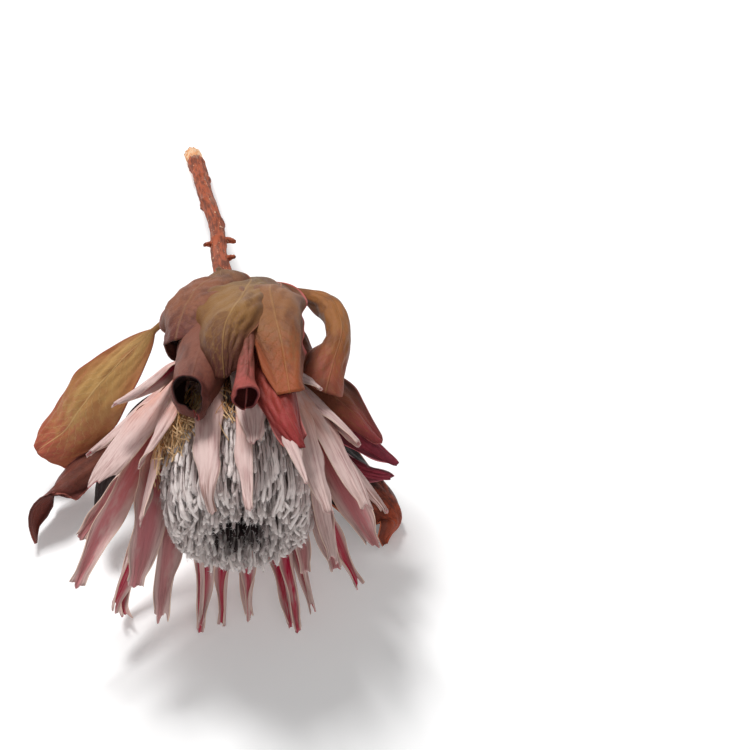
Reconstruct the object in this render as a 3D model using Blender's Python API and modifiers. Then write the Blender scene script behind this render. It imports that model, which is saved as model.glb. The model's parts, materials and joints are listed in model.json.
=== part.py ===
"""King protea flower head, cut and dried, lying on its lower bracts, two leaves and the end of its stem.

The flower is built around the axis of its head. The stem swells into a domed receptacle that
carries three rings of long bracts, a ring of short scales below them and the packed florets.
Leathery leaves leave the stem close behind the head and hang over it. Every bract and leaf is one
open blade, bent along a line and curled across it, with its thickness from a Solidify modifier.

Lengths in the tables are millimetres and angles are degrees. An angle round the head is 0 at the
top, 90 to +X and 180 at the bottom. Distances along the head run from the neck of the stem forwards.
"""

import math
from dataclasses import dataclass

import bpy
import bmesh
import numpy as np
from mathutils import Matrix, Vector

FLOWER = "king_protea_flower"
MM = 0.001

# Driving dimensions of the head
NECK = np.array((0.0, 0.0, 84.0))  # where the stem meets the receptacle
HEAD_DROOP = 12.0  # the head nods this far below level
HEAD_TURN = 5.0  # and turns this far to +X
CENTRE_OF_FLOOR_BOX = np.array((-10.6, 87.4, 0.2))  # moved to the origin at the end

EARLY = 3.0  # exponent: how soon a bract reaches its spread
BRACT_THICKNESS = 0.9
SCALE_THICKNESS = 1.0
LEAF_THICKNESS = 1.2
STALK_HALF_WIDTH = 1.6
FOOT_CLEARANCE = 1.15  # from the stem to the middle of a leaf's foot
FOOT_RISE = 4.0  # a leaf's stalk leaves the stem squarely for this long

# Receptacle: (distance along the head, radius)
RECEPTACLE = (
    (0.0, 6.0),
    (2.5, 9.0),
    (5.0, 12.2),
    (8.0, 15.0),
    (12.0, 17.9),
    (16.0, 19.8),
    (20.0, 20.6),
    (23.0, 20.2),
    (26.0, 17.8),
    (28.5, 13.0),
    (30.0, 6.0),
)

# Packed florets: (distance along the head, radius), from the tip of the middle tuft outwards,
# down into the hollow, over the rim and back along the outside to the receptacle
FLORETS = (
    (84.0, 0.0),
    (74.0, 4.0),
    (62.0, 8.0),
    (58.0, 11.0),
    (62.0, 14.0),
    (80.0, 17.0),
    (94.0, 20.0),
    (99.0, 24.0),
    (97.0, 28.5),
    (88.0, 32.0),
    (74.0, 33.5),
    (60.0, 32.0),
    (44.0, 27.5),
    (32.0, 23.0),
    (24.5, 20.3),
    (27.6, 17.6),
    (29.6, 12.6),
    (30.7, 6.0),
    (30.7, 0.0),
)
FLORET_STEPS = 24

# Stem from the neck to the cut end: (x, y, z, radius)
STEM = (
    (-3.0, 28.0, 88.0, 4.6),
    (-8.0, 60.0, 84.0, 4.4),
    (-14.0, 100.0, 68.0, 4.0),
    (-20.0, 150.0, 51.0, 3.9),
    (-32.0, 208.0, 33.0, 4.1),
    (-40.0, 255.0, 17.0, 4.6),
    (-48.0, 292.0, 5.0, 5.0),
)
STEM_STEP = 9.0  # distance between the rings of the stem
STEM_LEAD = 6.0  # the stem's curve is led in from this far ahead of the neck
FIRST_RING = 2.0  # its first ring is at least this far behind the neck


def head_axes():
    """The head's forward axis, its side axis towards +X and its upward axis."""
    droop = math.radians(HEAD_DROOP)
    turn = math.radians(HEAD_TURN)
    axis = np.array(
        (
            math.sin(turn) * math.cos(droop),
            -math.cos(turn) * math.cos(droop),
            -math.sin(droop),
        )
    )
    side = np.cross((0.0, 0.0, 1.0), axis)
    side /= np.linalg.norm(side)
    return axis, side, np.cross(axis, side)


AXIS, SIDE, UP = head_axes()


def outwards(angle):
    """Unit vector away from the head's axis at each angle round it."""
    angle = np.radians(angle)[..., None]
    return np.cos(angle) * UP + np.sin(angle) * SIDE


def unit(vectors):
    return vectors / np.linalg.norm(vectors, axis=-1, keepdims=True)


def smooth_route(points, steps):
    """Catmull-Rom curve through the points, sampled at an even spacing along its length."""
    points = np.asarray(points, float)
    ends = np.vstack((2 * points[0] - points[1], points, 2 * points[-1] - points[-2]))
    t = np.linspace(0.0, 1.0, 12, endpoint=False)[:, None]
    pieces = []
    for a, b, c, d in zip(ends, ends[1:], ends[2:], ends[3:]):
        pieces.append(
            0.5
            * (
                2 * b
                + (c - a) * t
                + (2 * a - 5 * b + 4 * c - d) * t**2
                + (3 * b - a - 3 * c + d) * t**3
            )
        )
    curve = np.vstack(pieces + [points[-1:]])
    length = np.concatenate(([0.0], np.cumsum(np.linalg.norm(np.diff(curve[:, :3], axis=0), axis=1))))
    wanted = np.linspace(0.0, length[-1], steps + 1)
    return np.stack([np.interp(wanted, length, curve[:, k]) for k in range(curve.shape[1])], axis=1)


def along(values, steps):
    """Evenly spaced values made into one value for each row of a blade."""
    return np.interp(np.linspace(0.0, 1.0, steps + 1), np.linspace(0.0, 1.0, len(values)), values)


def blade(route, face, left, right, curl_left, curl_right, across):
    """Points of a blade that follows route and curls towards face.

    The section at each row is an arc from the midrib to each edge. A fraction v of the way out, an
    arc of half width w that turns by curl in all lies w sin(v curl) / curl to the side and
    w (1 - cos(v curl)) / curl towards the face.
    """
    forward = unit(np.gradient(route, axis=0))
    face = unit(face - (face * forward).sum(1, keepdims=True) * forward)
    sideways = np.cross(forward, face)
    v = np.linspace(-1.0, 1.0, across + 1)[None, :]
    curl = np.where(v < 0, np.radians(curl_left)[:, None], np.radians(curl_right)[:, None])
    width = np.where(v < 0, left[:, None], right[:, None])
    aside = width * v * np.sinc(v * curl / math.pi)
    inwards = width * np.abs(v) * np.sin(v * curl / 2) * np.sinc(v * curl / (2 * math.pi))
    inwards = np.abs(inwards) * np.sign(curl)
    return route[:, None] + aside[..., None] * sideways[:, None] + inwards[..., None] * face[:, None]


def stem_route():
    """The stem's smooth route and radius, from the neck backwards."""
    neck = (*NECK, RECEPTACLE[0][1])
    length = np.linalg.norm(np.diff(np.array((neck,) + STEM)[:, :3], axis=0), axis=1).sum()
    ahead = np.array((*(NECK + STEM_LEAD * AXIS), RECEPTACLE[0][1]))
    rows = smooth_route([ahead, neck, *STEM], int((length + STEM_LEAD) / STEM_STEP))
    behind = (rows[:, :3] - NECK) @ AXIS < -FIRST_RING
    return np.vstack((neck, rows[behind]))


def on_stem(distance, angle):
    """A point just off the stem, this far behind the neck, and the way out of the stem there."""
    rows = stem_route()
    length = np.concatenate(([0.0], np.cumsum(np.linalg.norm(np.diff(rows[:, :3], axis=0), axis=1))))
    here = np.array([np.interp(distance, length, rows[:, k]) for k in range(4)])
    ahead = np.array([np.interp(distance - 1.0, length, rows[:, k]) for k in range(3)])
    forward = unit(ahead - here[:3])
    side = unit(np.cross((0.0, 0.0, 1.0), forward))
    up = np.cross(forward, side)
    out = math.cos(math.radians(angle)) * up + math.sin(math.radians(angle)) * side
    return here[:3] + (here[3] + FOOT_CLEARANCE) * out, out


def receptacle_radius(distance):
    return np.interp(distance, *zip(*RECEPTACLE))


# --- objects -------------------------------------------------------------------------------------


def finish(colour, roughness):
    """Principled material of one piece."""
    material = bpy.data.materials.new("finish")
    material.use_nodes = True
    shader = material.node_tree.nodes["Principled BSDF"]
    shader.inputs["Base Color"].default_value = (*colour, 1.0)
    shader.inputs["Roughness"].default_value = roughness
    shader.inputs["Metallic"].default_value = 0.0
    return material


def add(name, data, collection, colour, roughness):
    """A named object with its own material, smooth except at sharp edges."""
    obj = bpy.data.objects.new(name, data)
    material = finish(colour, roughness)
    material.name = name + "_finish"
    data.materials.append(material)
    if isinstance(data, bpy.types.Mesh):
        data.shade_smooth()
    collection.objects.link(obj)
    return obj


def add_blade(name, points, thickness, collection, colour, roughness):
    """A grid bent to the blade's points, with its thickness from Solidify."""
    rows, columns = points.shape[:2]
    mesh = bpy.data.meshes.new(name)
    grid = bmesh.new()
    bmesh.ops.create_grid(grid, x_segments=columns - 1, y_segments=rows - 1, size=1.0)
    grid.verts.ensure_lookup_table()
    moved = (points.reshape(-1, 3) - CENTRE_OF_FLOOR_BOX) * MM
    for vertex, place in zip(grid.verts, moved):
        vertex.co = place
    grid.to_mesh(mesh)
    grid.free()
    obj = add(name, mesh, collection, colour, roughness)
    wall = obj.modifiers.new("thickness", "SOLIDIFY")
    wall.thickness = thickness * MM
    wall.offset = 0.0
    return obj


# --- stem and florets ----------------------------------------------------------------------------


def add_stem(collection):
    """One curve from the cut end to the dome of the receptacle, with a radius at each point."""
    rows = [(*point[:3], point[3]) for point in stem_route()[::-1]]
    rows += [(*(NECK + s * AXIS), radius) for s, radius in RECEPTACLE[1:]]
    curve = bpy.data.curves.new("stem_with_receptacle", "CURVE")
    curve.dimensions = "3D"
    curve.bevel_depth = MM
    curve.bevel_resolution = 6
    curve.use_fill_caps = True
    spline = curve.splines.new("POLY")
    spline.points.add(len(rows) - 1)
    for point, (x, y, z, radius) in zip(spline.points, rows):
        place = (np.array((x, y, z)) - CENTRE_OF_FLOOR_BOX) * MM
        point.co = (*place, 1.0)
        point.radius = radius
    add("stem_with_receptacle", curve, collection, (0.42, 0.16, 0.07), 0.85)


def add_florets(collection):
    """The packed florets: their outline turned round the head's axis."""
    mesh = bpy.data.meshes.new("florets")
    outline = [(radius * MM, 0.0, s * MM) for s, radius in FLORETS]
    mesh.from_pydata(outline, [(k, k + 1) for k in range(len(outline) - 1)], [])
    obj = add("florets", mesh, collection, (0.62, 0.55, 0.55), 0.95)
    turn = Matrix(np.column_stack((SIDE, np.cross(AXIS, SIDE), AXIS)).tolist())
    obj.matrix_world = Matrix.Translation(Vector((NECK - CENTRE_OF_FLOOR_BOX) * MM)) @ turn.to_4x4()
    screw = obj.modifiers.new("turned", "SCREW")
    screw.steps = FLORET_STEPS
    screw.render_steps = FLORET_STEPS
    screw.use_merge_vertices = True
    screw.merge_threshold = 0.00001
    screw.use_smooth_shade = True


# --- bracts --------------------------------------------------------------------------------------


@dataclass(frozen=True)
class Ring:
    """A ring of bracts: how far along the head it sits, and its look."""

    name: str
    seat: float
    rows: int
    across: int
    thickness: float
    clearance: float  # from the receptacle to the middle of a bract's foot
    colour: tuple


@dataclass(frozen=True)
class Bract:
    """One bract. It leaves the receptacle at `rise` to the axis and ends at `spread` to it."""

    angle: float
    length: float
    width: float
    rise: float
    spread: float
    fold: float = 70.0  # curl of each half
    sweep: float = 0.0  # how far its tip drifts round the head


INNER = Ring("inner_bract", 16.5, 9, 4, BRACT_THICKNESS, 1.15, (0.72, 0.55, 0.53))
MIDDLE = Ring("middle_bract", 10.6, 9, 4, BRACT_THICKNESS, 1.25, (0.70, 0.50, 0.49))
OUTER = Ring("outer_bract", 4.4, 9, 4, BRACT_THICKNESS, 1.25, (0.66, 0.40, 0.40))
SCALE = Ring("basal_scale", -4.0, 4, 4, SCALE_THICKNESS, 0.85, (0.40, 0.14, 0.10))

BRACTS = {
    INNER: (
        Bract(-18, 92, 8.0, 28, 12, 45),
        Bract(7, 100, 4.8, 27, 5, 40),
        Bract(31, 100, 7.5, 30, 15, 50),
        Bract(55, 82, 6.2, 32, 22, 60),
        Bract(86, 86, 5.5, 30, 11, 70),
        Bract(113, 84, 8.0, 31, 16, 50),
        Bract(136, 82, 5.2, 28, 8, 70),
        Bract(154, 106, 5.0, 29, 12, 90, -2),
        Bract(177, 96, 5.0, 28, 10, 90),
        Bract(-154, 100, 5.5, 28, 9, 90),
        Bract(-127, 109, 6.2, 28, 5, 70, 4),
        Bract(-100, 93, 8.2, 29, 9, 50),
        Bract(-76, 72, 5.5, 30, 10, 60),
        Bract(-50, 76, 6.0, 31, 22, 60),
    ),
    MIDDLE: (
        Bract(12, 74, 7.6, 42, 15, 50),
        Bract(-34, 74, 6.0, 44, 15, 50),
        Bract(-66, 90, 9.5, 46, 27, 50),
        Bract(-104, 109, 7.5, 44, 25, 75),
        Bract(-128, 108, 6.6, 42, 26, 90),
        Bract(-156, 107, 4.8, 42, 19, 100, -5),
        Bract(177, 101, 4.6, 42, 16, 100, 2),
        Bract(147, 106, 4.6, 41, 12, 90),
        Bract(106, 95, 8.5, 44, 19, 50),
        Bract(73, 82, 6.2, 44, 21, 70),
    ),
    OUTER: (
        Bract(-50, 72, 6.5, 57, 41, 85),
        Bract(-80, 74, 6.0, 56, 39, 80),
        Bract(-108, 94, 6.2, 54, 34, 80),
        Bract(-137, 120, 6.2, 54, 33.5, 85),
        Bract(-173, 113, 4.8, 56, 18.5, 100, 4),
        Bract(163, 118, 4.8, 57, 12, 100, -1),
        Bract(135, 110, 5.6, 56, 24, 90),
        Bract(108, 84, 5.8, 54, 32, 80),
        Bract(80, 70, 6.0, 56, 30, 80),
        Bract(52, 52, 5.6, 57, 36, 70),
    ),
    SCALE: tuple(Bract(angle, 20, 5.5, 58, 44, 40) for angle in range(-150, 180, 60)),
}


def bract_outline(rows):
    """Half width along a bract as a part of its greatest: a narrow foot, and a long taper to a blunt tip."""
    u = np.linspace(0.0, 1.0, rows + 1)
    foot = 0.5 + 0.5 * np.sin(math.pi / 2 * np.minimum(u / 0.4, 1.0))
    taper = np.maximum(1.0 - u**2.6, 0.0) ** 0.75
    return np.maximum(foot * taper, 0.1)


def bract_route(bract, ring):
    """The bract's midrib and the way to the axis from it, by adding up its slope from its seat."""
    u = np.linspace(0.0, 1.0, ring.rows + 1)
    slope = np.radians(bract.spread + (bract.rise - bract.spread) * (1.0 - u) ** EARLY)
    step = bract.length / ring.rows

    def summed(values):
        return np.concatenate(([0.0], np.cumsum((values[1:] + values[:-1]) / 2 * step)))

    distance = ring.seat + summed(np.cos(slope))
    seat = receptacle_radius(ring.seat) + ring.clearance
    radius = seat + summed(np.sin(slope))
    out = outwards(bract.angle + bract.sweep * u**2)
    return NECK + distance[:, None] * AXIS + radius[:, None] * out, -out


def add_bracts(collection):
    for ring, bracts in BRACTS.items():
        for number, bract in enumerate(bracts, 1):
            route, face = bract_route(bract, ring)
            width = bract.width * bract_outline(ring.rows)
            foot_curl = math.degrees(width[0] / (receptacle_radius(ring.seat) + ring.clearance))
            fold = along((foot_curl, 0.7 * bract.fold, bract.fold), ring.rows)
            points = blade(route, face, width, width, fold, fold, ring.across)
            add_blade(f"{ring.name}_{number}", points, ring.thickness, collection, ring.colour, 0.8)


# --- leaves --------------------------------------------------------------------------------------


@dataclass(frozen=True)
class Leaf:
    """One leaf, from its foot on the stem: (distance behind the neck, angle round the stem)."""

    name: str
    foot: tuple
    route: tuple
    face: tuple  # ways that it curls towards, evenly spaced from foot to tip
    stalk: float  # the part of its length that is stalk
    left: float
    right: float
    curl_left: tuple
    curl_right: tuple
    widest: float = 0.8  # exponent: under 1 is widest near the stalk
    bluntness: float = 0.5  # exponent: a small one gives a round end
    rows: int = 12
    across: int = 6
    colour: tuple = (0.36, 0.17, 0.10)


LEAVES = (
    Leaf(
        "broad_left_leaf", (44, -85),
        ((-25, 34, 86), (-41, 30, 73), (-58, 17, 62), (-73, 10, 46), (-85, 7, 32), (-97, 3, 20)),
        ((0, 0.3, -1), (0.2, 0.6, -0.8), (0.3, 0.7, -0.6)),
        0.33, 14, 17, (20, 40, 60), (20, 35, 50), 1.1, rows=14, colour=(0.40, 0.22, 0.10),
    ),
    Leaf(
        "rolled_left_leaf", (38, -110),
        ((-35, 18, 48), (-62, -3, 27), (-80, -12, 18), (-91, -21, 12), (-95, -31, 7), (-93, -42, 1.0)),
        ((0, 0, -1), (0.2, 0.6, -0.8), (0.9, 0.2, 0.4)),
        0.45, 9, 9, (40, 100, 120), (40, 90, 100), 1.0, rows=14, colour=(0.16, 0.06, 0.05),
    ),
    Leaf(
        "dark_back_leaf", (30, -120),
        ((-25, 12, 58), (-42, -4, 48), (-52, -16, 40), (-60, -30, 30), (-62, -44, 22)),
        ((0, 0.2, -1), (0.3, 0.6, -0.8), (0.5, 0.6, -0.4)),
        0.3, 12, 10, (20, 50, 80), (20, 50, 80), 1.0, colour=(0.05, 0.02, 0.02),
    ),
    Leaf(
        "hood_leaf", (50, -15),
        ((-7, 38, 100), (-10, 22, 107), (-14, 6, 112), (-20, -6, 112), (-27, -13, 105)),
        ((0, 0, -1), (0.3, 0.2, -1), (0.7, 0.3, -0.6)),
        0.2, 15, 11, (20, 60, 90), (20, 30, 60), 0.9,
    ),
    Leaf(
        "cupped_leaf", (34, 0),
        ((-3, 12, 101), (-7, -8, 109), (-11, -30, 119), (-13, -50, 124), (-13, -65, 118)),
        ((0, 0.2, -1), (0, 0.2, -1), (0, 0.5, -0.8)),
        0.4, 17, 17, (10, 60, 95), (10, 60, 95), 1.2, bluntness=0.4,
    ),
    Leaf(
        "veined_leaf", (44, 50),
        ((8, 32, 102), (8, 10, 114), (6, -14, 123), (3, -42, 130), (2, -59, 123)),
        ((0, 0, -1), (0, 0.2, -1), (0, 0.6, -0.7)),
        0.2, 14, 9, (10, -20, -80), (20, 50, 80), 0.9,
    ),
    Leaf(
        "trumpet_leaf", (34, 40),
        ((8, 12, 101), (12, -10, 108), (13, -36, 117), (13, -57, 119), (12, -67, 115)),
        ((0, 0.1, -1), (0, 0.2, -1), (0, 0.5, -0.8)),
        0.35, 10, 10, (60, 150, 150), (60, 150, 150), 1.4,
    ),
    Leaf(
        "drooping_leaf", (48, 80),
        ((18, 30, 99), (25, 10, 112), (28, -12, 121), (30, -42, 126), (32, -56, 116)),
        ((0, 0.1, -1), (0, 0.2, -1), (0, 0.6, -0.7)),
        0.2, 8, 14, (20, 60, 120), (20, 70, 100), 1.0,
    ),
    Leaf(
        "far_right_leaf", (56, 100),
        ((24, 40, 92), (44, 22, 100), (50, -2, 102), (47, -20, 98), (43, -34, 88)),
        ((0, 0, -1), (-0.2, 0.2, -1), (-0.3, 0.6, -0.7)),
        0.3, 9, 9, (40, 110, 140), (40, 110, 140), 0.9,
    ),
    Leaf(
        "folded_right_leaf", (30, 90),
        ((18, 16, 90), (30, -2, 86), (42, -22, 78), (55, -32, 74), (68, -36, 66)),
        ((0, 0, -1), (-0.2, 0.2, -1), (-0.3, 0.3, -0.9)),
        0.25, 9, 9, (30, 70, 90), (30, 70, 90), 0.9,
    ),
    Leaf(
        "rolled_red_leaf", (24, 60),
        ((16, 4, 99), (25, -16, 107), (31, -42, 112), (35, -63, 110), (38, -74, 102)),
        ((0, 0, -1), (-0.1, 0.2, -1), (-0.3, 0.4, -0.9)),
        0.35, 7, 7, (40, 100, 120), (40, 80, 100), 1.0, colour=(0.35, 0.08, 0.06),
    ),
    Leaf(
        "narrow_red_leaf", (28, 115),
        ((16, 14, 76), (32, -4, 70), (47, -20, 65), (60, -28, 58), (75, -34, 48)),
        ((0, 0, -1), (-0.2, 0.2, -1), (-0.2, 0.4, -0.9)),
        0.3, 5.5, 5.5, (30, 80, 110), (30, 80, 110), 1.0, across=4, colour=(0.35, 0.05, 0.07),
    ),
    Leaf(
        "boat_leaf", (22, 130),
        ((14, 6, 70), (28, -12, 60), (46, -28, 52), (60, -36, 46), (70, -38, 43)),
        ((0, 0, -1), (-0.2, 0.3, -1), (-0.2, 0.6, -0.7)),
        0.35, 5.5, 5.5, (30, 100, 120), (30, 100, 120), 1.0, across=4, colour=(0.32, 0.05, 0.07),
    ),
    Leaf(
        "floor_leaf", (34, 150),
        ((8, 22, 62), (28, 2, 44), (48, -14, 32), (64, -22, 22), (76, -30, 9), (70, -38, 1.0)),
        ((0, 0, -1), (-0.2, 0.3, -1), (-0.6, 0.3, 0.2)),
        0.3, 11, 11, (20, 50, 80), (20, 50, 80), 1.1, rows=14, colour=(0.10, 0.03, 0.03),
    ),
)


def leaf_outline(leaf, half_width):
    """Half width from foot to tip: an even stalk, then a lamina that swells and closes again."""
    u = np.linspace(0.0, 1.0, leaf.rows + 1)
    t = np.clip((u - leaf.stalk) / (1.0 - leaf.stalk), 0.0, 1.0)
    lamina = np.sin(math.pi * t**leaf.widest) ** leaf.bluntness
    return np.maximum(half_width * lamina, np.where(t > 0.5, 0.8, STALK_HALF_WIDTH))


def leaf_points(leaf):
    foot, out = on_stem(*leaf.foot)
    route = smooth_route([foot, foot + FOOT_RISE * out, *leaf.route], leaf.rows)
    keys = np.asarray(leaf.face, float)
    face = np.stack([along(keys[:, k], leaf.rows) for k in range(3)], axis=1)
    left = leaf_outline(leaf, leaf.left)
    right = leaf_outline(leaf, leaf.right)
    curl_left = along(leaf.curl_left, leaf.rows)
    curl_right = along(leaf.curl_right, leaf.rows)
    return blade(route, face, left, right, curl_left, curl_right, leaf.across)


def add_leaves(collection):
    for leaf in LEAVES:
        add_blade(leaf.name, leaf_points(leaf), LEAF_THICKNESS, collection, leaf.colour, 0.6)


def main():
    for obj in list(bpy.data.objects):
        bpy.data.objects.remove(obj, do_unlink=True)
    collection = bpy.data.collections.new(FLOWER)
    bpy.context.scene.collection.children.link(collection)
    add_stem(collection)
    add_florets(collection)
    add_bracts(collection)
    add_leaves(collection)


main()
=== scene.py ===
"""King protea flower, cut and dried: its finished surfaces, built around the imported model.

Every bract and leaf is one thin blade, bent along its midrib and curled across it. The florets are a
felted bundle of strands that end in woolly tips around a hollow. The stem is a ridged bark tube with
old leaf stubs and a torn end.

Until a mesh is made, lengths are millimetres and angles are degrees, and places are measured from
the point on the floor below the neck, where the stem meets the head. An angle round the head is 0 at
the top, 90 towards +X and 180 at the bottom. Colours are written as eight-bit red, green and blue.
"""

import json
import logging
import math
from dataclasses import dataclass
from enum import Enum

import bpy
import numpy as np
from mathutils import Euler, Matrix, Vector

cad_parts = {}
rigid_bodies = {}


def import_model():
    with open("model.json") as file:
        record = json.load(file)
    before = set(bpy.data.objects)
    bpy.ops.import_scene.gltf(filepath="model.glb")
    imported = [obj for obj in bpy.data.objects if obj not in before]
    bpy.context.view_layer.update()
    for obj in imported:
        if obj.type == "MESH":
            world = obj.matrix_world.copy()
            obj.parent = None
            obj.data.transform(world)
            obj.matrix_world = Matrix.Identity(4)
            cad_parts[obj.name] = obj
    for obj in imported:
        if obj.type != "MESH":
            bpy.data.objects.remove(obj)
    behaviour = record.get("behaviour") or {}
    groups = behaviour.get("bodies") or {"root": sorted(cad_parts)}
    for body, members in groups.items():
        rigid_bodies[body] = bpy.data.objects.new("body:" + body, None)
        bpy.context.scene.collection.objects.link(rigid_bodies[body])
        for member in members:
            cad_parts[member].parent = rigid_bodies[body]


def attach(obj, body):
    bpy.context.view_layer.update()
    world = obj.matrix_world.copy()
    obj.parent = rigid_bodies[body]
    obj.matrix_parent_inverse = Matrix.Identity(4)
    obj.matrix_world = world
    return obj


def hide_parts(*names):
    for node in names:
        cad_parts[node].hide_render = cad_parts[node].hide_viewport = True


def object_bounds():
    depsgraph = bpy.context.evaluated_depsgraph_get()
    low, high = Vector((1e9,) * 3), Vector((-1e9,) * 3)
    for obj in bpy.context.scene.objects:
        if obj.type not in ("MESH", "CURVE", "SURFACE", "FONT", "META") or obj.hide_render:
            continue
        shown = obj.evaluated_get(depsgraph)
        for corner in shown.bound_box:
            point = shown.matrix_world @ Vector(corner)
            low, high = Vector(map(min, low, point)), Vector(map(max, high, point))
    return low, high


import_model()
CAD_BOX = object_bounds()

Array = np.ndarray
Colour = tuple[float, float, float]

LOG = logging.getLogger("protea")
MM = 0.001
BODY = "root"
# The point on the floor below the neck, in the model's own frame, and the neck above that point
FLOOR_BELOW_NECK = np.array((10.6, -87.4, -0.2))
NECK = np.array((0.0, 0.0, 84.0))
WHITE = (1.0, 1.0, 1.0, 1.0)


class Slot(Enum):
    """Material slots of the record."""

    BARK = "stem_bark"
    FELT = "floret_felt"
    BRACT = "dried_bract"
    SCALE = "brown_scale"
    LEAF = "dried_leaf"


# --- arithmetic of shapes ------------------------------------------------------------------------


def unit(vectors: Array) -> Array:
    """Vectors scaled to length 1."""
    return vectors / np.maximum(np.linalg.norm(vectors, axis=-1, keepdims=True), 1e-12)


def smoothstep(value: Array, low: float, high: float) -> Array:
    """A smooth rise from 0 at low to 1 at high: 3 t squared minus 2 t cubed."""
    t = np.clip((value - low) / (high - low), 0.0, 1.0)
    return t * t * (3.0 - 2.0 * t)


def lengths(points: Array) -> Array:
    """Length of a route up to each of its points, whose first three values are x, y and z."""
    steps = np.linalg.norm(np.diff(points[:, :3], axis=0), axis=1)
    return np.concatenate(([0.0], np.cumsum(steps)))


def read(where: Array | float, places: Array, values: Array) -> Array:
    """Values known at some places read where wanted, each column on its own if there are several."""
    if values.ndim == 1:
        return np.interp(where, places, values)
    return np.stack([np.interp(where, places, column) for column in values.T], axis=-1)


def grid(rows: int, columns: int) -> tuple[Array, Array]:
    """Share along, from 0 to 1, and share across, from -1 to 1, of each point of a blade's grid."""
    u, v = np.meshgrid(np.linspace(0, 1, rows), np.linspace(-1, 1, columns), indexing="ij")
    return u, v


def randomness(name: str) -> np.random.Generator:
    """A source of irregularities that is always the same for a name."""
    return np.random.default_rng([ord(letter) for letter in name])


def linear(colour: Colour) -> tuple[float, float, float, float]:
    """An eight-bit colour as linear light, with alpha.

    Args:
        colour: red, green and blue from 0 to 255.

    Returns:
        Four numbers for a colour socket.
    """
    share = np.asarray(colour, float) / 255.0
    light = np.where(share <= 0.04045, share / 12.92, ((share + 0.055) / 1.055) ** 2.4)
    return (float(light[0]), float(light[1]), float(light[2]), 1.0)


def smooth_route(points: Array, steps: int) -> Array:
    """Catmull-Rom curve through the points, sampled at an even spacing along its length.

    Args:
        points: rows of x, y, z and any further values that go along.
        steps: number of stretches in the result.

    Returns:
        steps + 1 rows of the same width.
    """
    points = np.asarray(points, float)
    ends = np.vstack((2 * points[0] - points[1], points, 2 * points[-1] - points[-2]))
    a, b, c, d = (ends[k : k + len(points) - 1, None] for k in range(4))
    t = np.linspace(0.0, 1.0, 16, endpoint=False)[None, :, None]
    square, cube = 2 * a - 5 * b + 4 * c - d, 3 * b - a - 3 * c + d
    curve = 0.5 * (2 * b + (c - a) * t + square * t**2 + cube * t**3)
    curve = np.vstack((curve.reshape(-1, points.shape[1]), points[-1:]))
    length = lengths(curve)
    return read(np.linspace(0.0, length[-1], steps + 1), length, curve)


def along(values: Array, steps: int) -> Array:
    """Evenly spaced values made into one value for each of steps + 1 rows, smoothly."""
    values = np.asarray(values, float)
    return read(np.linspace(0.0, 1.0, steps + 1), np.linspace(0.0, 1.0, len(values)), values)


def lumps(u: Array, v: Array, rng: np.random.Generator, waves: int, count: int = 5) -> Array:
    """Soft irregular relief from 0: a sum of sine waves of random slant and phase, of height about 1.

    Args:
        u: first parameter of each point.
        v: second parameter of each point.
        rng: source of the slants and phases.
        waves: greatest number of waves over a parameter's range.
        count: how many waves are summed.

    Returns:
        A height for each point.
    """
    total = np.zeros(np.broadcast(u, v).shape)
    for _ in range(count):
        slope_u, slope_v = rng.uniform(0.3, 1.0, 2) * waves * rng.choice((-1.0, 1.0), 2)
        total += np.sin(2 * math.pi * (slope_u * u + slope_v * v / 2) + rng.uniform(0, 2 * math.pi))
    return total / math.sqrt(count)


@dataclass(frozen=True)
class Head:
    """The flower head's own axes. Its axis starts at the neck and nods below level."""

    droop: float = 12.0
    turn: float = 5.0
    # Outline of the receptacle: (distance along the head, radius)
    seats: tuple = (
        (0.0, 6.0), (2.5, 9.0), (5.0, 12.2), (8.0, 15.0), (12.0, 17.9), (16.0, 19.8),
        (20.0, 20.6), (23.0, 20.2), (26.0, 17.8), (28.5, 13.0), (30.0, 6.0),
    )

    @property
    def axis(self) -> Array:
        """Unit vector forwards along the head."""
        droop, turn = math.radians(self.droop), math.radians(self.turn)
        level = math.cos(droop)
        return np.array((math.sin(turn) * level, -math.cos(turn) * level, -math.sin(droop)))

    @property
    def side(self) -> Array:
        """Level unit vector across the head, towards +X."""
        return unit(np.cross((0.0, 0.0, 1.0), self.axis))

    def outwards(self, angle: Array) -> Array:
        """Unit vector away from the axis at each angle round it."""
        angle = np.radians(angle)[..., None]
        return np.cos(angle) * np.cross(self.axis, self.side) + np.sin(angle) * self.side

    def place(self, distance: Array, radius: Array, angle: Array) -> Array:
        """Points at a distance along the axis, a radius from it and an angle round it."""
        away = np.asarray(radius)[..., None] * self.outwards(angle)
        return NECK + np.asarray(distance)[..., None] * self.axis + away

    def radius_at(self, distance: float) -> float:
        """Radius of the receptacle at a distance along the head."""
        return float(np.interp(distance, *zip(*self.seats)))


HEAD = Head()


# --- meshes --------------------------------------------------------------------------------------


def add_object(name: str, data: bpy.types.ID) -> bpy.types.Object:
    """An object that holds the data, linked into the scene."""
    made = bpy.data.objects.new(name, data)
    bpy.context.scene.collection.objects.link(made)
    return made


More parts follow.
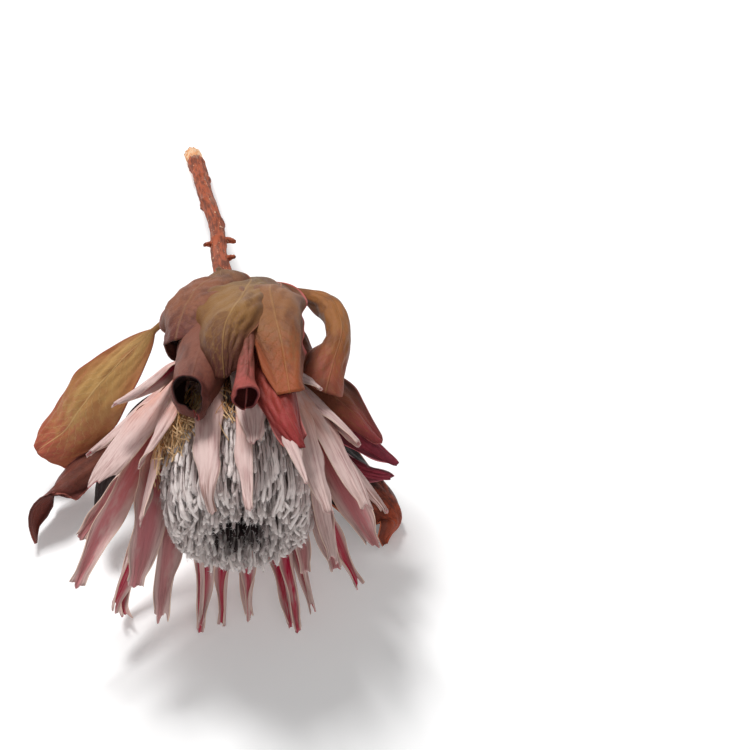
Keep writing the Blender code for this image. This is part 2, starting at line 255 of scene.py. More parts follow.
def make_piece(
    name: str, points: Array, faces: list, values: dict[str, Array]
) -> bpy.types.Object:
    """A mesh object at the origin, with one vector attribute for each entry of values.

    Args:
        name: the piece's name.
        points: corners, in millimetres from the floor below the neck.
        faces: arrays of corner numbers, one array for each number of corners.
        values: attribute name to an array of three values for each corner.

    Returns:
        The object, riding on the flower's body.
    """
    mesh = bpy.data.meshes.new(name)
    places = (points.reshape(-1, 3) + FLOOR_BELOW_NECK) * MM
    rows = [row for block in faces for row in block.tolist()]
    mesh.from_pydata(places, [], rows)
    for key, value in values.items():
        layer = mesh.attributes.new(key, "FLOAT_VECTOR", "POINT")
        layer.data.foreach_set("vector", value.astype(np.float32).ravel())
    mesh.shade_smooth()
    piece = add_object(name, mesh)
    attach(piece, BODY)
    LOG.info("%s: %d faces, lowest point at %.1f mm", name, len(rows), min(places[:, 2]) / MM)
    return piece


def shell_faces(rows: int, columns: int) -> list[Array]:
    """Faces of a closed thin shell over a grid: its front corners come first, then its back ones.

    Args:
        rows: corners along the grid.
        columns: corners across it.

    Returns:
        One array of four-cornered faces, all facing out.
    """
    front = np.arange(rows * columns).reshape(rows, columns)
    back = front + rows * columns
    a, b, c, d = front[:-1, :-1], front[:-1, 1:], front[1:, 1:], front[1:, :-1]
    sheets = [np.stack((a, b, c, d), -1), np.stack((d, c, b, a), -1) + rows * columns]
    left = np.stack((front[:-1, 0], front[1:, 0], back[1:, 0], back[:-1, 0]), -1)
    right = np.stack((front[1:, -1], front[:-1, -1], back[:-1, -1], back[1:, -1]), -1)
    foot = np.stack((front[0, :-1], back[0, :-1], back[0, 1:], front[0, 1:]), -1)
    tip = np.stack((front[-1, 1:], back[-1, 1:], back[-1, :-1], front[-1, :-1]), -1)
    return [np.concatenate([sheet.reshape(-1, 4) for sheet in (*sheets, left, right, foot, tip)])]


def tube_corners(routes: Array, radii: Array, sides: int, flatten: float = 1.0) -> Array:
    """Corners of many tubes at once, each ring square to its route.

    Args:
        routes: centre lines, as (tubes, rows, 3).
        radii: radius at each row, as (tubes, rows), or (tubes, rows, sides) for a ridged tube.
        sides: corners round a ring.
        flatten: the second width of a ring as a part of the first.

    Returns:
        Corners as (tubes, rows, sides, 3).
    """
    forward = unit(np.gradient(routes, axis=1))
    first = unit(np.cross(forward, np.array((0.21, 0.13, 0.97))))
    second = np.cross(forward, first)
    turn = np.arange(sides) * 2 * math.pi / sides
    radii = radii[..., None] if radii.ndim == 2 else radii
    ring = np.cos(turn)[:, None] * first[:, :, None] + flatten * np.sin(turn)[:, None] * second[:, :, None]
    return routes[:, :, None] + radii[..., None] * ring


def tube_faces(tubes: int, rows: int, sides: int) -> list[Array]:
    """Side faces of many tubes, and one face over each end.

    Args:
        tubes: number of tubes.
        rows: rings in each.
        sides: corners in each ring.

    Returns:
        Two arrays: four-cornered side faces and many-cornered end faces, all facing out.
    """
    number = np.arange(tubes * rows * sides).reshape(tubes, rows, sides)
    after = np.roll(number, -1, axis=2)
    walls = np.stack((number[:, :-1], after[:, :-1], after[:, 1:], number[:, 1:]), -1)
    return [walls.reshape(-1, 4), np.concatenate((number[:, 0, ::-1], number[:, -1]))]


@dataclass
class Blade:
    """A thin blade. It follows a midrib and curls across it towards its face.

    The section is an arc from the midrib to each edge. A fraction v of the way out, an arc of half
    width w that turns by curl in all lies w sin(v curl) / curl to the side and
    w (1 - cos(v curl)) / curl towards the face.
    """

    route: Array
    face: Array
    left: Array
    right: Array
    curl_left: Array
    curl_right: Array

    def __post_init__(self) -> None:
        """Squares the face to the midrib and finds the way sideways."""
        forward = unit(np.gradient(self.route, axis=0))
        self.face = unit(self.face - (self.face * forward).sum(1, keepdims=True) * forward)
        self.sideways = np.cross(forward, self.face)
        self.length = float(np.linalg.norm(np.diff(self.route, axis=0), axis=1).sum())

    def at(self, s: Array, v: Array) -> Array:
        """Points at the share s of the length and the share v, from -1 to 1, across."""
        shares = np.linspace(0.0, 1.0, len(self.route))
        curl_left, curl_right, left, right, route, sideways, face = (
            read(s, shares, values)
            for values in (
                self.curl_left, self.curl_right, self.left, self.right,
                self.route, self.sideways, self.face,
            )
        )
        curl = np.radians(np.where(v < 0, curl_left, curl_right))
        width = np.where(v < 0, left, right)
        aside = width * v * np.sinc(v * curl / math.pi)
        rise = width * np.abs(v) * np.abs(np.sin(v * curl / 2) * np.sinc(v * curl / (2 * math.pi)))
        rise = rise * np.sign(curl)
        return route + aside[..., None] * sideways + rise[..., None] * face


def normals_of(points: Array) -> Array:
    """Unit normals of a grid, on the side that its blade curls towards."""
    return unit(np.cross(np.gradient(points, axis=1), np.gradient(points, axis=0)))


def blade_piece(
    name: str, middle: Array, thickness: Array, length: float, width: float, seed: float,
    tint: Colour,
) -> bpy.types.Object:
    """A closed shell over a grid of points, thickest where thickness says.

    Args:
        name: the piece's name.
        middle: points of the middle of the wall, as (rows, columns, 3).
        thickness: wall thickness at each point.
        length: length of the blade, for patterns at true scale.
        width: whole width of the blade.
        seed: shifts the patterns, so that no two blades look the same.
        tint: three values that the finish reads as it likes.

    Returns:
        The piece. Its attribute "blade" holds the share across from -1 to 1, the share along and 1 on
        the side it curls towards; "cloth" holds the same in millimetres and the seed.
    """
    rows, columns = middle.shape[:2]
    normal = normals_of(middle) * thickness[..., None] / 2
    u, v = grid(rows, columns)
    both = np.concatenate((middle + normal, middle - normal)).reshape(-1, 3)
    inner = np.concatenate((np.ones_like(u), np.zeros_like(u)))
    shares = np.stack((np.concatenate((v, v)), np.concatenate((u, u)), inner), -1)
    sizes = np.array((width / 2, length, 0.0))
    cloth = shares * sizes + np.array((0.0, 0.0, seed))
    values = {"blade": shares, "cloth": cloth, "tint": np.broadcast_to(tint, shares.shape)}
    return make_piece(name, both, shell_faces(rows, columns), values)


# --- finishes ------------------------------------------------------------------------------------


class Graph:
    """A material's node tree, with shorthand for the nodes that these finishes use."""

    graininess: float = 0.6  # roughness of every noise texture

    def __init__(self, name: str) -> None:
        """Starts a material with a Principled shader."""
        self.material = bpy.data.materials.new(name)
        self.material.use_nodes = True
        self.tree = self.material.node_tree
        self.shader = self.tree.nodes["Principled BSDF"]

    def feed(self, socket: bpy.types.NodeSocket, value: object) -> None:
        """Links a socket to another one, or sets its value."""
        if isinstance(value, bpy.types.NodeSocket):
            self.tree.links.new(value, socket)
        else:
            socket.default_value = value

    def calc(self, operation: str, *values: object) -> bpy.types.NodeSocket:
        """Result of a Math node."""
        made = self.tree.nodes.new("ShaderNodeMath")
        made.operation = operation
        for socket, value in zip(made.inputs, values):
            self.feed(socket, value)
        return made.outputs[0]

    def times(self, first: object, second: object) -> bpy.types.NodeSocket:
        """Product of two sockets or numbers."""
        return self.calc("MULTIPLY", first, second)

    def vector(self, attribute: str) -> bpy.types.NodeSocket:
        """A vector attribute of the piece."""
        made = self.tree.nodes.new("ShaderNodeAttribute")
        made.attribute_name = attribute
        return made.outputs["Vector"]

    def parts(self, vector: bpy.types.NodeSocket) -> list[bpy.types.NodeSocket]:
        """The three numbers of a vector."""
        made = self.tree.nodes.new("ShaderNodeSeparateXYZ")
        self.feed(made.inputs[0], vector)
        return list(made.outputs)

    def objects(self) -> bpy.types.NodeSocket:
        """Object coordinates."""
        return self.tree.nodes.new("ShaderNodeTexCoord").outputs["Object"]

    def scaled(self, vector: bpy.types.NodeSocket, by: tuple) -> bpy.types.NodeSocket:
        """A vector stretched along its axes."""
        made = self.tree.nodes.new("ShaderNodeMapping")
        made.inputs["Scale"].default_value = by
        self.feed(made.inputs["Vector"], vector)
        return made.outputs[0]

    def noise(
        self, vector: bpy.types.NodeSocket, scale: float, detail: float = 4.0
    ) -> bpy.types.NodeSocket:
        """Factor of a noise texture."""
        made = self.tree.nodes.new("ShaderNodeTexNoise")
        made.inputs["Scale"].default_value = scale
        made.inputs["Detail"].default_value = detail
        made.inputs["Roughness"].default_value = self.graininess
        self.feed(made.inputs["Vector"], vector)
        return made.outputs[0]

    def rise(self, value: bpy.types.NodeSocket, low: float, high: float) -> bpy.types.NodeSocket:
        """A smooth rise from 0 at low to 1 at high, or a fall where low is the greater."""
        made = self.tree.nodes.new("ShaderNodeMapRange")
        made.interpolation_type = "SMOOTHSTEP"
        self.feed(made.inputs["Value"], value)
        made.inputs["From Min"].default_value = min(low, high)
        made.inputs["From Max"].default_value = max(low, high)
        made.inputs["To Min"].default_value = 0.0 if low < high else 1.0
        made.inputs["To Max"].default_value = 1.0 if low < high else 0.0
        return made.outputs[0]

    def blend(self, factor: object, first: object, second: object) -> bpy.types.NodeSocket:
        """Two colours mixed. A colour is a socket or an eight-bit colour."""
        made = self.tree.nodes.new("ShaderNodeMix")
        made.data_type = "RGBA"
        self.feed(made.inputs[0], factor)
        for socket, value in ((made.inputs[6], first), (made.inputs[7], second)):
            self.feed(socket, value if isinstance(value, bpy.types.NodeSocket) else linear(value))
        return made.outputs[2]

    def finish(
        self, colour: object, roughness: float, height: object, depth: float, gloss: float = 0.3
    ) -> bpy.types.Material:
        """Feeds the shader its colour, roughness and bump.

        Args:
            colour: colour socket.
            roughness: roughness all over.
            height: socket of the relief.
            depth: how deep a relief of 1 is, in millimetres.
            gloss: specular level all over.

        Returns:
            The material.
        """
        bump = self.tree.nodes.new("ShaderNodeBump")
        bump.inputs["Strength"].default_value = 1.0
        bump.inputs["Distance"].default_value = depth * MM
        self.feed(bump.inputs["Height"], height)
        self.feed(self.shader.inputs["Normal"], bump.outputs[0])
        self.feed(self.shader.inputs["Base Color"], colour)
        self.shader.inputs["Roughness"].default_value = roughness
        self.shader.inputs["Specular IOR Level"].default_value = gloss
        return self.material


@dataclass(frozen=True)
class BractFelt:
    """Velvety dried bract: pale creased felt outside, crimson or salmon inside, torn at the tip."""

    pale: Colour = (220, 192, 186)
    mauve: Colour = (170, 120, 120)
    salmon: Colour = (220, 146, 118)
    crimson: Colour = (192, 20, 66)
    rose: Colour = (206, 104, 118)
    edge: Colour = (236, 208, 186)
    withered: Colour = (146, 112, 102)

    def material(self) -> bpy.types.Material:
        """One material for all the bracts. Attribute "tint" holds their salmon, crimson and withering."""
        g = Graph("bract_felt")
        across, share, inner = g.parts(g.vector("blade"))
        salmon, crimson, withering = g.parts(g.vector("tint"))
        cloth = g.vector("cloth")
        streaks = g.noise(g.scaled(cloth, (1.0, 0.06, 1.0)), 1.0)
        patches = g.noise(g.scaled(cloth, (0.16, 0.05, 1.0)), 1.0, 3.0)
        fibres = g.noise(g.scaled(cloth, (6.0, 0.5, 1.0)), 1.0, 2.0)
        edge = g.calc("ABSOLUTE", across)
        shade = g.times(g.rise(streaks, 0.4, 0.72), g.rise(patches, 0.3, 0.65))
        outer = g.blend(g.times(shade, 0.8), self.pale, self.mauve)
        warm = g.times(g.rise(share, 0.75, 0.1), salmon)
        outer = g.blend(g.times(warm, g.rise(patches, 0.25, 0.6)), outer, self.salmon)
        lining = g.blend(g.rise(streaks, 0.35, 0.65), self.crimson, self.rose)
        red = g.times(g.rise(edge, 0.85, 0.3), g.rise(patches, 0.2, 0.5))
        lining = g.blend(g.times(red, crimson), outer, lining)
        colour = g.blend(inner, outer, lining)
        dry = g.times(g.rise(share, 0.72, 1.0), g.rise(streaks, 0.4, 0.6))
        colour = g.blend(g.times(dry, withering), colour, self.withered)
        colour = g.blend(g.times(g.rise(edge, 0.9, 1.0), 0.7), colour, self.edge)
        height = g.calc("ADD", streaks, g.times(fibres, 0.35))
        return g.finish(colour, 0.85, height, 0.5)


@dataclass(frozen=True)
class LeafLeather:
    """Dried leathery leaf: its colours from stalk to end, its back, its patches, its rim and its veins,
    with painted shade inside its curls and towards its margins.
    """

    name: str
    foot: Colour
    middle: Colour
    end: Colour
    # Colour of the side it curls towards: partly the leaf's own inner colour, partly painted shade of the
    # hollows inside its curls
    back: Colour
    # Colour of the random darker patches, and of the painted shade towards the margins
    patch_and_shade: Colour
    rim: Colour
    vein: Colour
    veins: float  # strength of the veins
    roughness: float = 0.5
    gloss: float = 0.2
    side_veins: float = 22.0  # how many leave the midrib on a side
    slant: float = 4.4  # how many spacings a side vein climbs on its way to the rim

    def material(self) -> bpy.types.Material:
        """The leaf's material. Side veins leave the midrib at a slant and thin out to the rim."""
        g = Graph(self.name + "_leather")
        across, share, inner = g.parts(g.vector("blade"))
        cloth = g.vector("cloth")
        patches = g.noise(g.scaled(cloth, (0.12, 0.06, 1.0)), 1.0)
        mottle = g.noise(g.scaled(cloth, (0.5, 0.3, 1.0)), 1.0, 5.0)
        grain = g.noise(cloth, 1.6, 5.0)
        edge = g.calc("ABSOLUTE", across)
        colour = g.blend(g.rise(share, 0.1, 0.45), self.foot, self.middle)
        ending = g.calc("ADD", share, g.times(g.calc("SUBTRACT", mottle, 0.5), 0.5))
        colour = g.blend(g.rise(ending, 0.68, 1.0), colour, self.end)
        # Partly painted shade: the side it curls towards takes the back colour, darker than the leaf's own
        # inside so that its curls read as shaded
        colour = g.blend(g.rise(inner, 0.2, 0.8), colour, self.back)
        colour = g.blend(g.times(g.rise(patches, 0.45, 0.68), 0.55), colour, self.patch_and_shade)
        colour = g.blend(g.times(g.rise(mottle, 0.58, 0.8), 0.22), colour, self.vein)
        # Painted shade: the leaf darkens towards its margins, blended to the patch colour
        colour = g.blend(g.times(g.rise(edge, 0.3, 0.95), 0.6), colour, self.patch_and_shade)
        slant = g.calc("SUBTRACT", g.times(share, self.side_veins), g.times(edge, self.slant))
        wander = g.calc("ADD", slant, g.times(mottle, 1.2))
        line = g.calc("ABSOLUTE", g.calc("SUBTRACT", g.calc("FRACT", wander), 0.5))
        side_vein = g.times(g.rise(line, 0.11, 0.0), g.rise(edge, 0.9, 0.2))
        vein = g.calc("MAXIMUM", g.times(side_vein, 0.6), g.rise(edge, 0.035, 0.01))
        colour = g.blend(g.times(vein, self.veins), colour, self.vein)
        colour = g.blend(g.times(g.rise(edge, 0.955, 0.99), 0.8), colour, self.rim)
        height = g.calc("ADD", g.times(grain, 0.6), g.times(vein, 0.4))
        return g.finish(colour, self.roughness, height, 0.5, self.gloss)


@dataclass(frozen=True)
class StrandFelt:
    """Woolly strand: its colour from foot to tip. "strand" holds the share along, a shade of its own and a
    depth, which the finish turns into painted shade.
    """

    name: str
    foot: Colour
    middle: Colour
    tip: Colour
    # The strands' own darker tone, and also the painted shade of strands that lie deep among the others
    dark: Colour
    # Painted shade: the near black that the strands deepest in the hollow are painted
    hollow: Colour = (36, 20, 20)

    def material(self) -> bpy.types.Material:
        """The strands' material, with a shade of its own for each strand."""
        g = Graph(self.name)
        share, shade, depth = g.parts(g.vector("strand"))
        place = g.objects()
        fuzz = g.noise(place, 1400.0, 3.0)
        mottle = g.noise(place, 260.0, 3.0)
        colour = g.blend(g.rise(share, 0.15, 0.6), self.foot, self.middle)
        colour = g.blend(g.rise(share, 0.55, 0.9), colour, self.tip)
        colour = g.blend(g.times(g.rise(shade, 0.3, 1.0), 0.5), colour, self.dark)
        # Painted shade: strands that lie deeper are darker in patches, as if shaded by the strands over
        # them
        colour = g.blend(g.times(depth, g.rise(mottle, 0.3, 0.7)), colour, self.dark)
        # Painted shade: the deepest strands, in the hollow, go near black
        colour = g.blend(g.rise(depth, 0.4, 1.0), colour, self.hollow)
        return g.finish(colour, 0.95, g.calc("ADD", fuzz, g.times(mottle, 0.5)), 0.5)


@dataclass(frozen=True)
class Bark:
    """Dry stem bark: ribs along it, pale flecks, grey weathering and bare wood towards the torn end."""

    warm: Colour = (172, 86, 54)
    brown: Colour = (112, 58, 40)
    grey: Colour = (188, 156, 136)
    fleck: Colour = (232, 196, 160)
    torn: Colour = (220, 146, 92)

    def material(self) -> bpy.types.Material:
        """The bark's material. "bark" holds the share along, the share round and how bare the wood is."""
        g = Graph("bark")
        share, _, torn = g.parts(g.vector("bark"))
        cloth = g.vector("cloth")
        ribs = g.noise(g.scaled(cloth, (0.5, 0.07, 0.5)), 1.0, 6.0)
        patches = g.noise(g.scaled(cloth, (0.2, 0.03, 0.2)), 1.0, 6.0)
        flecks = g.noise(g.scaled(cloth, (0.5, 0.22, 0.5)), 1.0, 3.0)
        colour = g.blend(g.rise(ribs, 0.38, 0.62), self.warm, self.brown)
        weathered = g.times(g.rise(patches, 0.52, 0.66), g.rise(share, 0.2, 0.8))
        colour = g.blend(g.times(weathered, 0.55), colour, self.grey)
        colour = g.blend(g.times(g.rise(flecks, 0.64, 0.69), 0.8), colour, self.fleck)
        peeled = g.rise(g.calc("ADD", torn, g.calc("SUBTRACT", ribs, 0.5)), 0.45, 0.6)
        colour = g.blend(peeled, colour, g.blend(g.rise(flecks, 0.35, 0.65), self.torn, self.fleck))
        height = g.calc("ADD", ribs, g.times(flecks, 0.6))
        return g.finish(colour, 0.8, height, 1.2)


# --- bracts --------------------------------------------------------------------------------------


class Tip(Enum):
    """How a bract ends: the share of its width left there, how deep it is torn, and its fullness.

    Fullness is an exponent: a great one keeps the blade wide until close to its end.
    """

    POINTED = (0.20, 0.01, 3.6)
    BLUNT = (0.42, 0.015, 6.0)
    TORN = (0.46, 0.035, 6.0)
    SPLIT = (0.52, 0.09, 7.0)


class Tint(Enum):
    """A bract's salmon warmth at the foot, crimson lining and withering at the tip."""

    PALE = (0.30, 0.45, 0.4)
    SALMON = (1.0, 0.6, 0.5)
    ROSE = (0.7, 1.0, 0.5)
    CRIMSON = (0.6, 1.0, 0.3)
    WITHERED = (0.4, 0.6, 1.0)


@dataclass(frozen=True)
class Bract:
    """One bract. It leaves the receptacle at rise to the axis and ends at spread to it."""

    angle: float
    length: float
    width: float
    rise: float
    spread: float
    fold: float = 70.0
    sweep: float = 0.0
    tip: Tip = Tip.POINTED
    tint: Tint = Tint.PALE
    turn: float = 0.0  # turn of its blade about its own length
    lean: float = 0.0  # how much more its right half curls than its left half
    roll: float = 0.0  # curl of its last stretch towards the axis


@dataclass(frozen=True)
class Ring:
    """A ring of bracts: how far along the head it sits and how far off the receptacle."""

    name: str
    seat: float
    clearance: float
    thickness: float
    slot: Slot


@dataclass
class Bracts:
    """The rings of bracts and the basal scales."""

    finish: BractFelt = BractFelt()
    rows: int = 64
    columns: int = 25
    early: float = 3.0  # an exponent: the greater it is, the sooner a bract eases to its spread
    wander: float = 1.6  # how far it wanders round the head, in degrees
    twist: float = 40.0  # greatest turn of its end about its own length
    crease: float = 0.22  # height of its broad creases
    fine_crease: float = 0.10  # height of its fine creases
    crimp: float = 0.9  # height of the crimps in its margins
    inner: Ring = Ring("inner_bract", 16.5, 1.15, 0.75, Slot.BRACT)
    middle: Ring = Ring("middle_bract", 10.6, 1.25, 0.75, Slot.BRACT)
    outer: Ring = Ring("outer_bract", 4.4, 1.25, 0.75, Slot.BRACT)
    scale: Ring = Ring("basal_scale", -4.0, 0.85, 0.9, Slot.SCALE)

    def table(self) -> dict[Ring, tuple[Bract, ...]]:
        """Every bract of every ring, in the order of the model's nodes."""
        torn, split, blunt = Tip.TORN, Tip.SPLIT, Tip.BLUNT
        pale, salmon, rose, crimson, dry = Tint.PALE, Tint.SALMON, Tint.ROSE, Tint.CRIMSON, Tint.WITHERED
        return {
            self.inner: (
                Bract(-18, 99, 6.8, 28, 11, 60, 4, tint=dry, tip=blunt, lean=20, roll=80),
                Bract(7, 96, 4.0, 27, 6, 50, tint=salmon, tip=blunt, lean=-20),
                Bract(31, 92, 5.2, 30, 17, 50, tint=pale, turn=-15),
                Bract(55, 90, 6.8, 32, 9, 60, 4, tint=salmon, tip=blunt, turn=-35),
                Bract(84, 98, 8.4, 30, 4, 60, 3, tint=pale, tip=blunt, turn=-20),
                Bract(113, 92, 8.0, 31, 9, 50, tint=salmon, tip=blunt, turn=25),
                Bract(136, 86, 7.0, 28, 6, 70, tint=pale, tip=blunt, turn=20),
                Bract(154, 106, 5.6, 29, 12, 90, -2, tint=rose, tip=blunt, lean=20),
                Bract(177, 98, 5.0, 28, 10, 90, tint=crimson, lean=-20),
                Bract(-154, 102, 6.0, 28, 9, 90, tint=rose, tip=torn, lean=20),
                Bract(-127, 109, 7.0, 28, 5, 70, 4, tint=pale, tip=torn, turn=-30),
                Bract(-100, 100, 9.4, 29, 9, 45, tint=salmon, tip=blunt, turn=-42),
                Bract(-76, 80, 6.4, 30, 10, 60, tint=salmon, tip=blunt),
                Bract(-50, 70, 5.0, 31, 22, 60, tint=salmon, turn=20),
            ),
            self.middle: (
                Bract(12, 74, 7.6, 42, 12, 50, tint=pale, tip=torn, lean=20),
                Bract(-34, 62, 6.0, 34, 4, 60, tint=rose, tip=blunt),
                Bract(-66, 90, 10.0, 46, 27, 45, tint=rose, tip=split, turn=38),
                Bract(-104, 109, 7.6, 44, 25, 60, tint=salmon, tip=blunt, turn=-20),
                Bract(-128, 108, 8.0, 42, 26, 80, tint=crimson, tip=torn, turn=-15, lean=45),
                Bract(-156, 107, 5.6, 42, 19, 90, -5, tint=rose, tip=blunt, lean=-30),
                Bract(177, 101, 5.4, 42, 16, 90, 2, tint=crimson, tip=blunt, lean=25),
                Bract(147, 106, 5.4, 41, 12, 90, tint=rose, tip=torn, lean=-25),
                Bract(106, 97, 8.4, 44, 19, 50, tint=salmon, tip=torn, turn=20),
                Bract(73, 92, 8.0, 44, 17, 50, 4, tint=salmon, tip=blunt, turn=-35),
            ),
            self.outer: (
                Bract(-50, 70, 6.4, 57, 41, 75, tint=crimson, tip=blunt, turn=-25, lean=20),
                Bract(-80, 74, 6.5, 56, 39, 80, tint=rose, tip=blunt),
                Bract(-108, 96, 6.6, 54, 34, 80, tint=dry, tip=blunt),
                Bract(-137, 120, 7.4, 54, 33.5, 80, tint=crimson, tip=torn, lean=-25, roll=60),
                Bract(-173, 113, 5.4, 56, 17.3, 90, 4, tint=crimson, tip=blunt, lean=-25),
                Bract(163, 118, 5.4, 57, 12, 90, -1, tint=crimson, tip=blunt, lean=25),
                Bract(135, 110, 6.2, 56, 24, 85, tint=rose, tip=torn, lean=20),
                Bract(108, 90, 8.0, 54, 32, 60, tint=dry, tip=blunt, turn=-30),
                Bract(80, 70, 6.6, 56, 30, 80, tint=pale, tip=blunt, turn=-20),
                Bract(52, 52, 6.0, 57, 36, 70, tint=crimson, turn=-20),
            ),
            self.scale: tuple(
                Bract(angle, 20, 5.5, 58, 44, 40, tint=dry) for angle in range(-150, 180, 60)
            ),
        }

    def blade(self, ring: Ring, bract: Bract, rng: np.random.Generator) -> Blade:
        """The bract's blade. Its slope to the axis eases from rise to spread and is summed along it."""
        u = np.linspace(0.0, 1.0, self.rows)
        slope = np.radians(bract.spread + (bract.rise - bract.spread) * (1.0 - u) ** self.early)
        slope -= np.radians(bract.roll) * smoothstep(u, 0.85, 1.0)
        step = bract.length / (self.rows - 1)
        distance = ring.seat + np.cumsum(np.cos(slope)) * step
        seat = HEAD.radius_at(ring.seat) + ring.clearance
        radius = seat + np.cumsum(np.sin(slope)) * step
        wander = self.wander * u * np.sin(5.0 * u + rng.uniform(0, 6))
        angle = bract.angle + bract.sweep * u**2 + wander
        out = HEAD.outwards(angle)
        twist = rng.uniform(-self.twist, self.twist)
        turn = bract.turn * smoothstep(u, 0.08, 0.5) + twist * smoothstep(u, 0.5, 1.0)
        turn = np.radians(turn)[:, None]
        face = -out * np.cos(turn) + np.cross(HEAD.axis, out) * np.sin(turn)
        left_over, _, fullness = bract.tip.value
        foot = 0.5 + 0.5 * np.sin(math.pi / 2 * np.minimum(u / 0.4, 1.0))
        taper = np.maximum(1.0 - u**fullness, 0.0) ** 0.75
        width = bract.width * np.maximum(foot * taper, left_over * smoothstep(u, 0.0, 0.5))
        foot_curl = math.degrees(width[0] / seat)
        halves = ((bract.fold - bract.lean, smoothstep(u, 0.1, 0.5)), (bract.fold + bract.lean, u))
        curls = [
            along((foot_curl, 0.7 * half, half, half), self.rows - 1)
            * (1.0 + 0.3 * swell * np.sin(8.0 * u + rng.uniform(0, 6)))
            for half, swell in halves
        ]
        return Blade(HEAD.place(distance, radius, angle), face, width, width, *curls)

    def build(self) -> None:
        """Makes every bract and scale in place of its node."""
        material = self.finish.material()
        for ring, bracts in self.table().items():
            for number, bract in enumerate(bracts, 1):
                node = f"{ring.name}_{number}"
                piece = self.piece(node, ring, bract)
                piece.data.materials.append(material)
                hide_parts(node)

    def piece(self, node: str, ring: Ring, bract: Bract) -> bpy.types.Object:
        """One bract: its blade with creases along it, crimped margins and a torn end."""
        rng = randomness(node)
        blade = self.blade(ring, bract, rng)
        u, v = grid(self.rows, self.columns)
        depth = bract.tip.value[1]
        tear = depth * (0.6 + 0.6 * np.sin(v * rng.uniform(2.5, 5.0) + rng.uniform(0, 6.0)))
        tear += depth * 0.25 * (1.0 + np.sin(v * rng.uniform(8.0, 12.0) + rng.uniform(0, 6.0)))
        middle = blade.at(u * (1.0 - tear), v)
        swell = smoothstep(u, 0.05, 0.35)
        # Kinds of crease: (height, waves across, sway sideways, bends along)
        kinds = ((self.crease, 7.0, 0.9, 5.0), (self.fine_crease, 17.0, 1.5, 7.0))
        creases = sum(
            height * np.cos(v * waves + rng.uniform(0, 6) + sway * np.sin(bends * u + rng.uniform(0, 6)))
            for height, waves, sway, bends in kinds
        )
        crimp = self.crimp * np.abs(v) ** 3 * lumps(u, 0.4 * np.sign(v), rng, 5)
        middle = middle + normals_of(middle) * (swell * (creases + crimp))[..., None]
        thickness = ring.thickness * (0.35 + 0.65 * (1.0 - np.abs(v) ** 4))
        return blade_piece(
            node + "_felt", middle, thickness, bract.length, 2 * bract.width, rng.uniform(0, 90),
            bract.tint.value,
        )


# --- florets -------------------------------------------------------------------------------------


